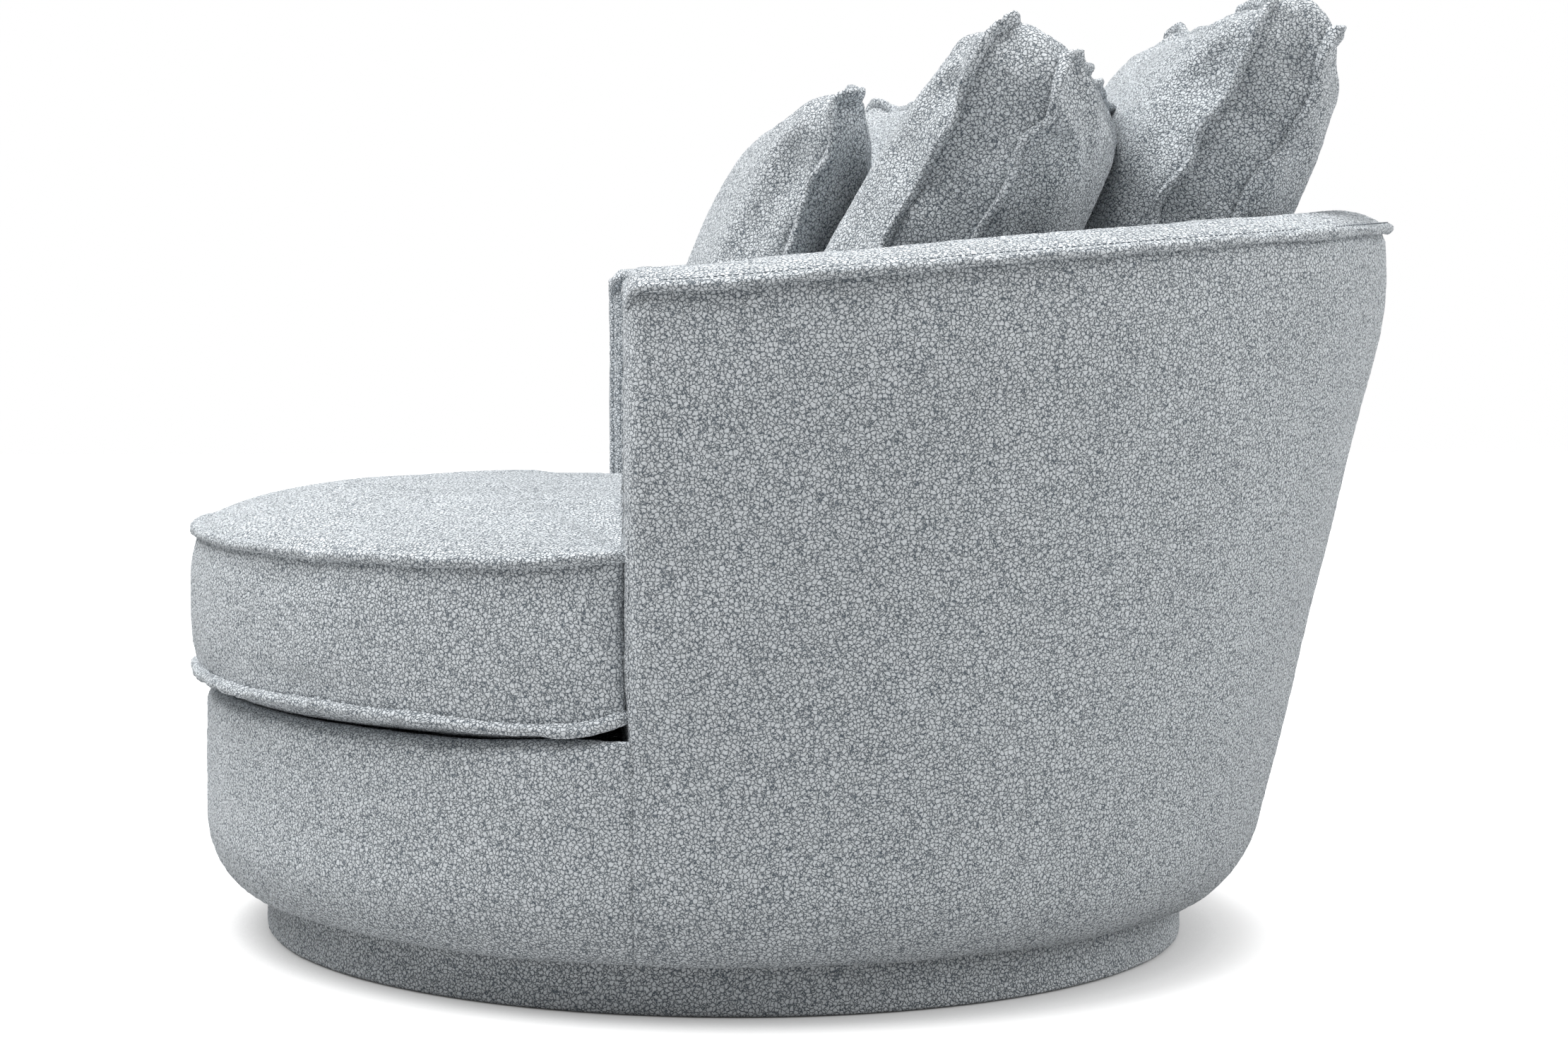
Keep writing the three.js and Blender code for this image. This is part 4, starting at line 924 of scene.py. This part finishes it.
def finish_cushion(name, mesh, seams, lip, ears=None, droop=0.0):
    """Tucks the cloth in at the seams, sews the lips on along them and sets the cushion on its body."""
    form = Form()
    points, facing = coordinates(mesh), normals(mesh)
    sewn = KDTree(sum(len(loop) for loop in seams))
    for number, corner in enumerate(np.concatenate(seams)):
        sewn.insert(points[corner], number)
    sewn.balance()
    far = np.array([sewn.find(point)[2] for point in points])
    form.add(points - facing * groove(far)[:, None], [tuple(polygon.vertices) for polygon in mesh.polygons])
    for loop in seams:
        path = between(points[loop])
        outward = between(facing[loop])
        outward[:, 2] -= droop
        seam_lip(form, path, outward, lip, closed=True, ears=ears(path) if ears else None)
    add_cover(name, form, name, [f"{name}_cover", f"{name}_pad"], CUSHION_PADDING)


def seat_outline():
    """The seat cushion's outline, from the middle of its front: a round front that reaches past the arms,
    cut off beside them, and a round back that fills the well between them."""
    cut = ARM_FRONT - SEAT_ARM_GAP
    front_turns = np.linspace(0, math.acos(-cut / SEAT_FRONT), 80)
    front = [(SEAT_FRONT * math.sin(angle), -SEAT_FRONT * math.cos(angle)) for angle in front_turns]
    centre, radius, _ = INNER_DECK
    radius -= SEAT_SIDE_GAP
    well_turns = np.linspace(math.acos((cut - centre) / radius), 0, 120)
    well = [(radius * math.sin(angle), centre + radius * math.cos(angle)) for angle in well_turns]
    half = np.array(front + well)
    line = np.concatenate([half, half[-2:0:-1] * (-1, 1)])
    closed = np.concatenate([line, line[:1]])
    along = np.concatenate([[0], np.cumsum(np.linalg.norm(np.diff(closed, axis=0), axis=1))])
    count = SEAT_OUTLINE_POINTS
    even = np.linspace(0, along[-1], count, endpoint=False)
    line = np.stack([np.interp(even, along, closed[:, axis]) for axis in (0, 1)], axis=1)
    offsets = np.minimum(np.arange(count), count - np.arange(count)) * along[-1] / count
    kernel = np.exp(-(offsets / SEAT_CORNER_SOFTNESS) ** 2 / 2)
    kernel /= kernel.sum()
    softened = [np.real(np.fft.ifft(np.fft.fft(line[:, axis]) * np.fft.fft(kernel))) for axis in (0, 1)]
    return np.stack(softened, axis=1)


def beside_arms(points, height):
    """How far the ears of the seat cushion rise where they press against the arms' fronts. height is 0 at
    the lower seam, which droops a little before it rises, and 1 at the upper one."""
    def towards_arm(start):
        return np.clip((points[:, 1] - start) / (ARM_FRONT - start), 0, 1) ** 2

    out = np.clip(np.linalg.norm(points[:, :2], axis=1) / SEAT_FRONT, 0, 1) ** 4
    upper = SEAT_ARM_LIFT * towards_arm(SEAT_LIFT_START)
    lower = SEAT_LOW_LIFT * towards_arm(SEAT_LOW_LIFT_START)
    lower -= SEAT_DROOP * np.exp(-((points[:, 1] - SEAT_DROOP_PLACE) / SEAT_DROOP_REACH) ** 2)
    in_ears = np.abs(points[:, 0]) > DECK_HALF - SEAT_EAR_START
    return mix(lower, upper, height) * in_ears * out


def add_seat_cushion():
    outline = seat_outline()
    middle = np.array([0, SEAT_MIDDLE_Y])
    gusset = SEAT_TOP_SEAM - SEAT_LOW_SEAM

    def edge(s, t):
        if t == -1:
            run = s
        elif s == 1:
            run = 2 + t
        elif t == 1:
            run = 4 - s
        else:
            run = 6 - t
        return outline[int(round(run / 8 * len(outline))) % len(outline)] - middle

    def crown(s, t):
        return SEAT_CROWN * (1 - max(abs(s), abs(t)) ** SEAT_CROWN_POWER)

    def belly(s, t):
        return (SEAT_LOW_SEAM - DECK_HEIGHT - SEAT_REST) * (1 - max(abs(s), abs(t)) ** SEAT_BELLY_POWER)

    points, faces, top_seam, low_seam = grid_cushion(edge, crown, belly, gusset, SEAT_FACETS, SEAT_ROWS)
    mesh = Form().add(points, faces).mesh("seat_cushion")
    face_outwards(mesh)
    inflate(mesh, top_seam + low_seam, **SEAT_FILLING)
    points = coordinates(mesh)
    side = SEAT_FACETS + 1
    top = points[:side ** 2, 2].reshape(side, side)
    inner = SEAT_SMOOTH_MARGIN
    for _ in range(SEAT_SMOOTHINGS):
        around = (top[:-2, 1:-1] + top[2:, 1:-1] + top[1:-1, :-2] + top[1:-1, 2:]) / 4
        top[inner:-inner, inner:-inner] = around[inner - 1:1 - inner, inner - 1:1 - inner]
    points[:, :2] += middle
    height = np.clip(points[:, 2] / gusset + 0.5, 0, 1)
    facing = points[:, :2] / np.linalg.norm(points[:, :2], axis=1)[:, None]
    front = np.clip((-points[:, 1] + ARM_FRONT - SEAT_BULGE_START) / SEAT_BULGE_RUN, 0, 1)
    bulge = SEAT_GUSSET_BULGE * 4 * height * (1 - height) * front
    points[:, :2] += facing * bulge[:, None]
    points[:, 2] += (SEAT_TOP_SEAM + SEAT_LOW_SEAM) / 2
    points[:, 2] += beside_arms(points, height)
    points[:, 2] = np.maximum(points[:, 2], DECK_HEIGHT + SEAT_REST)
    set_coordinates(mesh, points)
    finish_cushion("seat_cushion", smoothed(mesh), [top_seam, low_seam], SEAT_LIP, droop=SEAT_LIP_DROOP)


def corner_ears(centre, turn, sizes):
    """The lip is widest at the corners, where two seams meet."""
    def ears(path):
        local = np.abs((path - np.array(centre)) @ np.array(turn))
        corner = np.array([sizes["width"], sizes["height"]]) / 2 - EAR_INSET
        far = np.linalg.norm(local[:, :2] - corner, axis=1)
        return 1 + EAR_GROWTH * np.exp(-(far / EAR_REACH) ** 2)
    return ears


def rumpled(points, sizes):
    """Dents in the gusset and round the top corners, where the loose filling doesn't push the cloth out,
    and a far corner that slumps."""
    half = np.array([sizes["width"], sizes["height"]]) / 2
    near_edge = np.max(np.abs(points[:, :2]) / half, axis=1)
    weight = np.clip((near_edge - RUMPLE_START) / RUMPLE_RUN, 0, 1)
    corner = np.linalg.norm(np.abs(points[:, :2]) - half, axis=1)
    at_corner = np.exp(-(corner / CORNER_REACH) ** 2) * (points[:, 1] > 0)
    size = RUMPLE * weight * (1 + CORNER_RUMPLE * at_corner)
    moves = [unevenness(points + offset, RUMPLE_SPACING) for offset in (3.0, 5.0, 7.0)]
    points = points + np.stack(moves, axis=1) * size[:, None]
    if "slumped" in sizes:
        sideways = np.clip(points[:, 0] * sizes["slumped"] / half[0], 0, 1)
        upper = np.clip(points[:, 1] / half[1], 0, 1)
        points[:, 1] -= SLUMP * sideways ** SLUMP_POWER * upper ** SLUMP_POWER
    return points


def add_loose_cushion(name, sizes, pressed=None):
    """A square cushion with or without a gusset, leaning in its place, and pressed into shape by another."""
    turn = cushion_turn(sizes["lean"], sizes["turn"])
    edge = square_edge(sizes["width"], sizes["height"], CUSHION_CORNER, CUSHION_DRAW_IN)
    points, faces, front_seam, back_seam = grid_cushion(edge, plump(sizes["front"]), plump(sizes["back"]),
                                                        sizes["gusset"], LOOSE_FACETS, LOOSE_ROWS)
    mesh = Form().add(points, faces).mesh(name)
    face_outwards(mesh)
    seams = [front_seam, back_seam] if sizes["gusset"] > 0 else [front_seam]
    cut = np.ptp(coordinates(mesh), axis=0)
    inflate(mesh, sorted(set(front_seam + back_seam)), **LOOSE_FILLING)
    points = coordinates(mesh)
    points[:, :2] *= (cut / np.ptp(points, axis=0))[:2]
    points = rumpled(points, sizes) @ np.array(turn).T + np.array(sizes["middle"])
    set_coordinates(mesh, points if pressed is None else pressed(points))
    finish_cushion(name, smoothed(mesh), seams, CUSHION_LIP, corner_ears(sizes["middle"], turn, sizes))


def beside_centre(side):
    """Keeps a side cushion in front of the centre cushion's crown and on its own side of the middle."""
    turn = np.array(cushion_turn(BACK_CUSHION["lean"], BACK_CUSHION["turn"]))

    def pressed(points):
        out = turn[:, 2]
        limit = BACK_CUSHION["gusset"] / 2 + BACK_CUSHION["front"] + CUSHION_GAP
        depth = (points - np.array(BACK_CUSHION["middle"])) @ out
        points = points + np.outer(-soft_limit(-depth, -limit, PRESSED_ROUND) - depth, out)
        points[:, 0] = -side * soft_limit(-side * points[:, 0], -MIDDLE_GAP, PRESSED_ROUND)
        return points
    return pressed


def add_back_cushions():
    add_loose_cushion("back_cushion_centre", BACK_CUSHION)
    add_loose_cushion("back_cushion_left", LEFT_CUSHION, beside_centre(1))
    add_loose_cushion("back_cushion_right", RIGHT_CUSHION, beside_centre(-1))
    add_loose_cushion("scatter_cushion", SCATTER_CUSHION)


def add_zip(cushion, guide, finish):
    """A zip's chain, sewn on the cushion's cloth where it is nearest to the guide line outside it."""
    guide = np.array(guide)
    cloth = np.array([bpy.data.objects[cushion].closest_point_on_mesh(point)[1] for point in guide])
    outward = guide - cloth
    outward /= np.linalg.norm(outward, axis=1)[:, None]
    across = np.cross(np.gradient(cloth, axis=0), outward)
    across /= np.linalg.norm(across, axis=1)[:, None]
    rings = [cloth + outward * out * ZIP["proud"] + across * side * ZIP["half_width"]
             for side, out in ZIP_SECTION]
    form = Form().add(np.stack(rings, axis=1), tube_faces(len(cloth), len(rings)))
    chain = form.mesh(f"{cushion}_zip_chain")
    face_outwards(chain)
    piece = new_piece(f"{cushion}_zip_chain", chain, finish)
    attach(piece, cushion)
    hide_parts(f"{cushion}_zip")


def add_zips(finish):
    """The seat cushion's zip runs along the back of its border, and the others' along the underside."""
    half = ZIP["length"] / 2
    places = np.linspace(-half, half, int(ZIP["length"] / SEAM_STEP))
    centre, radius, _ = INNER_DECK
    reach = radius + ZIP["guide_away"]
    height = (SEAT_TOP_SEAM + SEAT_LOW_SEAM) / 2
    behind_seat = [(reach * math.sin(place / radius), centre + reach * math.cos(place / radius), height)
                   for place in places]
    add_zip("seat_cushion", behind_seat, finish)
    loose = {"back_cushion_centre": BACK_CUSHION, "back_cushion_left": LEFT_CUSHION,
             "back_cushion_right": RIGHT_CUSHION, "scatter_cushion": SCATTER_CUSHION}
    for name, sizes in loose.items():
        turn = np.array(cushion_turn(sizes["lean"], sizes["turn"]))
        behind = 0 if sizes["gusset"] > 0 else ZIP["behind_knife_edge"]
        low = -sizes["height"] / 2 - ZIP["guide_away"]
        guide = [turn @ (place, low, -behind) + np.array(sizes["middle"]) for place in places]
        add_zip(name, guide, finish)


def add_deck():
    """The platform cloth under the seat cushion."""
    mesh = frame["nodes"]["deck_cover"].data.copy()
    mesh.name = "deck_upholstery"
    mesh.materials.clear()
    piece = new_piece("deck_upholstery", mesh, boucle)
    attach(piece, "chair")
    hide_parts("deck_cover", "deck_pad")


# Frame parts under the cloth

def spruce_and_ply(name, pale, dark, ring_width):
    """Sawn spruce and birch ply: dull, straight-grained, warm beside the cloth."""
    material, tree, shader, place = new_material(name)
    drawn = add_node(tree, "ShaderNodeMapping", {"Vector": place}, Scale=(1.0, 0.12, 1.0))
    grain = add_node(tree, "ShaderNodeTexNoise", {"Vector": drawn.outputs[0]},
                     Scale=1 / ring_width, Detail=6.0)
    tone = add_node(tree, "ShaderNodeMix", {"Factor": grain.outputs["Fac"]}, data_type="RGBA",
                    A=linear(pale), B=linear(dark))
    raised = add_node(tree, "ShaderNodeBump", {"Height": grain.outputs["Fac"]}, Strength=0.3, Distance=0.0004)
    set_up(tree, shader, {"Base Color": tone.outputs["Result"], "Normal": raised.outputs[0]}, Roughness=0.6)
    return material


def zinc_plate(name, colour):
    """Zinc-plated pressed steel: a cool grey with a faint crystal mottle."""
    material, tree, shader, place = new_material(name)
    mottle = add_node(tree, "ShaderNodeTexVoronoi", {"Vector": place}, Scale=1 / 0.012)
    rough = add_node(tree, "ShaderNodeMapRange", {"Value": mottle.outputs["Distance"]},
                     To_Min=0.3, To_Max=0.45)
    set_up(tree, shader, {"Roughness": rough.outputs[0]}, Base_Color=linear(colour), Metallic=1.0)
    return material


def woven_elastic(name, colour, dark, rib):
    """Elastic webbing: fine lengthwise ribs of black yarn."""
    material, tree, shader, place = new_material(name)
    ribs = add_node(tree, "ShaderNodeTexWave", {"Vector": place}, Scale=1 / rib / 2, Distortion=0.4)
    tone = add_node(tree, "ShaderNodeMix", {"Factor": ribs.outputs["Fac"]}, data_type="RGBA",
                    A=linear(dark), B=linear(colour))
    raised = add_node(tree, "ShaderNodeBump", {"Height": ribs.outputs["Fac"]}, Strength=0.5, Distance=0.0004)
    set_up(tree, shader, {"Base Color": tone.outputs["Result"], "Normal": raised.outputs[0]}, Roughness=0.8)
    return material


def moulded_nylon(name, colour):
    """Moulded nylon glides and zip chains: dark, with a spark-eroded grain that is drawn at 0.6 mm, coarser
    than the real 0.1 mm, so that it shows."""
    material, tree, shader, place = new_material(name)
    grit = add_node(tree, "ShaderNodeTexNoise", {"Vector": place}, Scale=1 / 0.0006, Detail=2.0)
    raised = add_node(tree, "ShaderNodeBump", {"Height": grit.outputs["Fac"]}, Strength=0.3, Distance=0.0001)
    set_up(tree, shader, {"Normal": raised.outputs[0]}, Base_Color=linear(colour), Roughness=0.5)
    return material


def dress_frame():
    finishes = {
        "timber": spruce_and_ply("sawn_spruce_and_birch_ply", "#d8bd8d", "#b08a58", 0.006),
        "steel": zinc_plate("zinc_plated_steel", "#a4a9ad"),
        "webbing": woven_elastic("woven_elastic_webbing", "#4a4d50", "#232527", 0.0015),
        "plastic": moulded_nylon("moulded_nylon", "#2b2d2f"),
    }
    slots = {part["node"]: part["material_slot"] for part in frame["record"]["subparts"]}
    add_zips(finishes["plastic"])
    for name, node in frame["nodes"].items():
        finish = finishes.get(slots[name])
        if finish and not node.hide_render:
            node.data.materials.clear()
            node.data.materials.append(finish)


# Studio

def background_rays(tree):
    """1 for the rays that show the background itself, 0 for the rays that light the chair."""
    light_path = add_node(tree, "ShaderNodeLightPath")
    kinds = ("Is Camera Ray", "Is Glossy Ray", "Is Transmission Ray")
    camera, glossy, clear = [light_path.outputs[kind] for kind in kinds]
    seen = add_node(tree, "ShaderNodeMath", {0: camera, 1: glossy}, operation="MAXIMUM")
    return add_node(tree, "ShaderNodeMath", {0: seen.outputs[0], 1: clear}, operation="MAXIMUM").outputs[0]


def add_floor():
    """A pale paper sweep that the camera sees as white, but for a soft shadow close round the plinth: the
    lamps' own shadow, with a painted shadow added where ambient occlusion dims the glow.
    """
    mesh = bpy.data.meshes.new("studio_floor")
    reach = 9.0
    mesh.from_pydata([(-reach, -reach, 0), (reach, -reach, 0), (reach, reach, 0), (-reach, reach, 0)], [],
                     [(0, 1, 2, 3)])
    material, tree, shader, _ = new_material("white_paper_sweep")
    # Painted shadow: the floor's glow fades by ambient occlusion wherever the chair is near.
    painted_shadow_mask = add_node(tree, "ShaderNodeAmbientOcclusion", samples=8, Distance=FLOOR_SHADOW_REACH)
    glow = add_node(tree, "ShaderNodeMath", {0: background_rays(tree), 1: painted_shadow_mask.outputs["AO"]},
                    operation="MULTIPLY")
    lit = add_node(tree, "ShaderNodeMath", {0: glow.outputs[0]}, operation="MULTIPLY")
    lit.inputs[1].default_value = FLOOR_GLOW
    set_up(tree, shader, {"Emission Strength": lit.outputs[0]}, Base_Color=linear("#b8b8b8"), Roughness=1.0,
           Specular_IOR_Level=0.0, Emission_Color=linear("#ffffff"))
    new_piece("studio_floor", mesh, material)


def add_world():
    world = bpy.data.worlds.new("studio")
    scene.world = world
    world.use_nodes = True
    tree = world.node_tree
    tree.nodes.clear()
    strength = add_node(tree, "ShaderNodeMapRange", {"Value": background_rays(tree)},
                        To_Min=ROOM_LIGHT, To_Max=1.0)
    background = add_node(tree, "ShaderNodeBackground", {"Strength": strength.outputs[0]},
                          Color=(1.0, 1.0, 1.0, 1.0))
    add_node(tree, "ShaderNodeOutputWorld", {"Surface": background.outputs[0]})


def add_lamps():
    """Two wide softboxes: one high in front of the chair, and a weaker one behind it."""
    for name, softbox in SOFTBOXES.items():
        data = bpy.data.lights.new(name, "SUN")
        data.energy = softbox["light"]
        data.angle = math.radians(softbox["width"])
        lamp = bpy.data.objects.new(name, data)
        scene.collection.objects.link(lamp)
        lamp.rotation_mode = "QUATERNION"
        lamp.rotation_quaternion = Vector(softbox["from"]).to_track_quat("Z", "Y")


def add_camera():
    data = bpy.data.cameras.new("camera")
    camera = bpy.data.objects.new("camera", data)
    scene.collection.objects.link(camera)
    scene.camera = camera
    image_width = 2220
    focal_pixels = 4555.34
    data.sensor_width = 36.0
    data.lens = focal_pixels * data.sensor_width / image_width
    data.shift_x = 0.1
    data.shift_y = -0.1
    yaw, pitch, roll = 0.0171, -0.0288, -0.0003
    camera.location = (3.4902, -0.1630, 0.6988)
    ahead = Vector((-math.cos(pitch) * math.cos(yaw), math.cos(pitch) * math.sin(yaw), math.sin(pitch)))
    right = ahead.cross(Vector((0, 0, 1))).normalized()
    up = right.cross(ahead)
    tilted_right = right * math.cos(roll) + up * math.sin(roll)
    tilted_up = up * math.cos(roll) - right * math.sin(roll)
    camera.rotation_mode = "QUATERNION"
    camera.rotation_quaternion = Matrix((tilted_right, tilted_up, -ahead)).transposed().to_quaternion()


add_camera()
add_outside_cover()
add_inside_cover()
add_rim_cover()
add_arm_panel("left", 1)
add_arm_panel("right", -1)
add_drum_cover()
add_plinth_cover()
add_deck()
add_seat_cushion()
add_back_cushions()
dress_frame()
add_floor()
add_world()
add_lamps()

scene.view_settings.view_transform = "Standard"
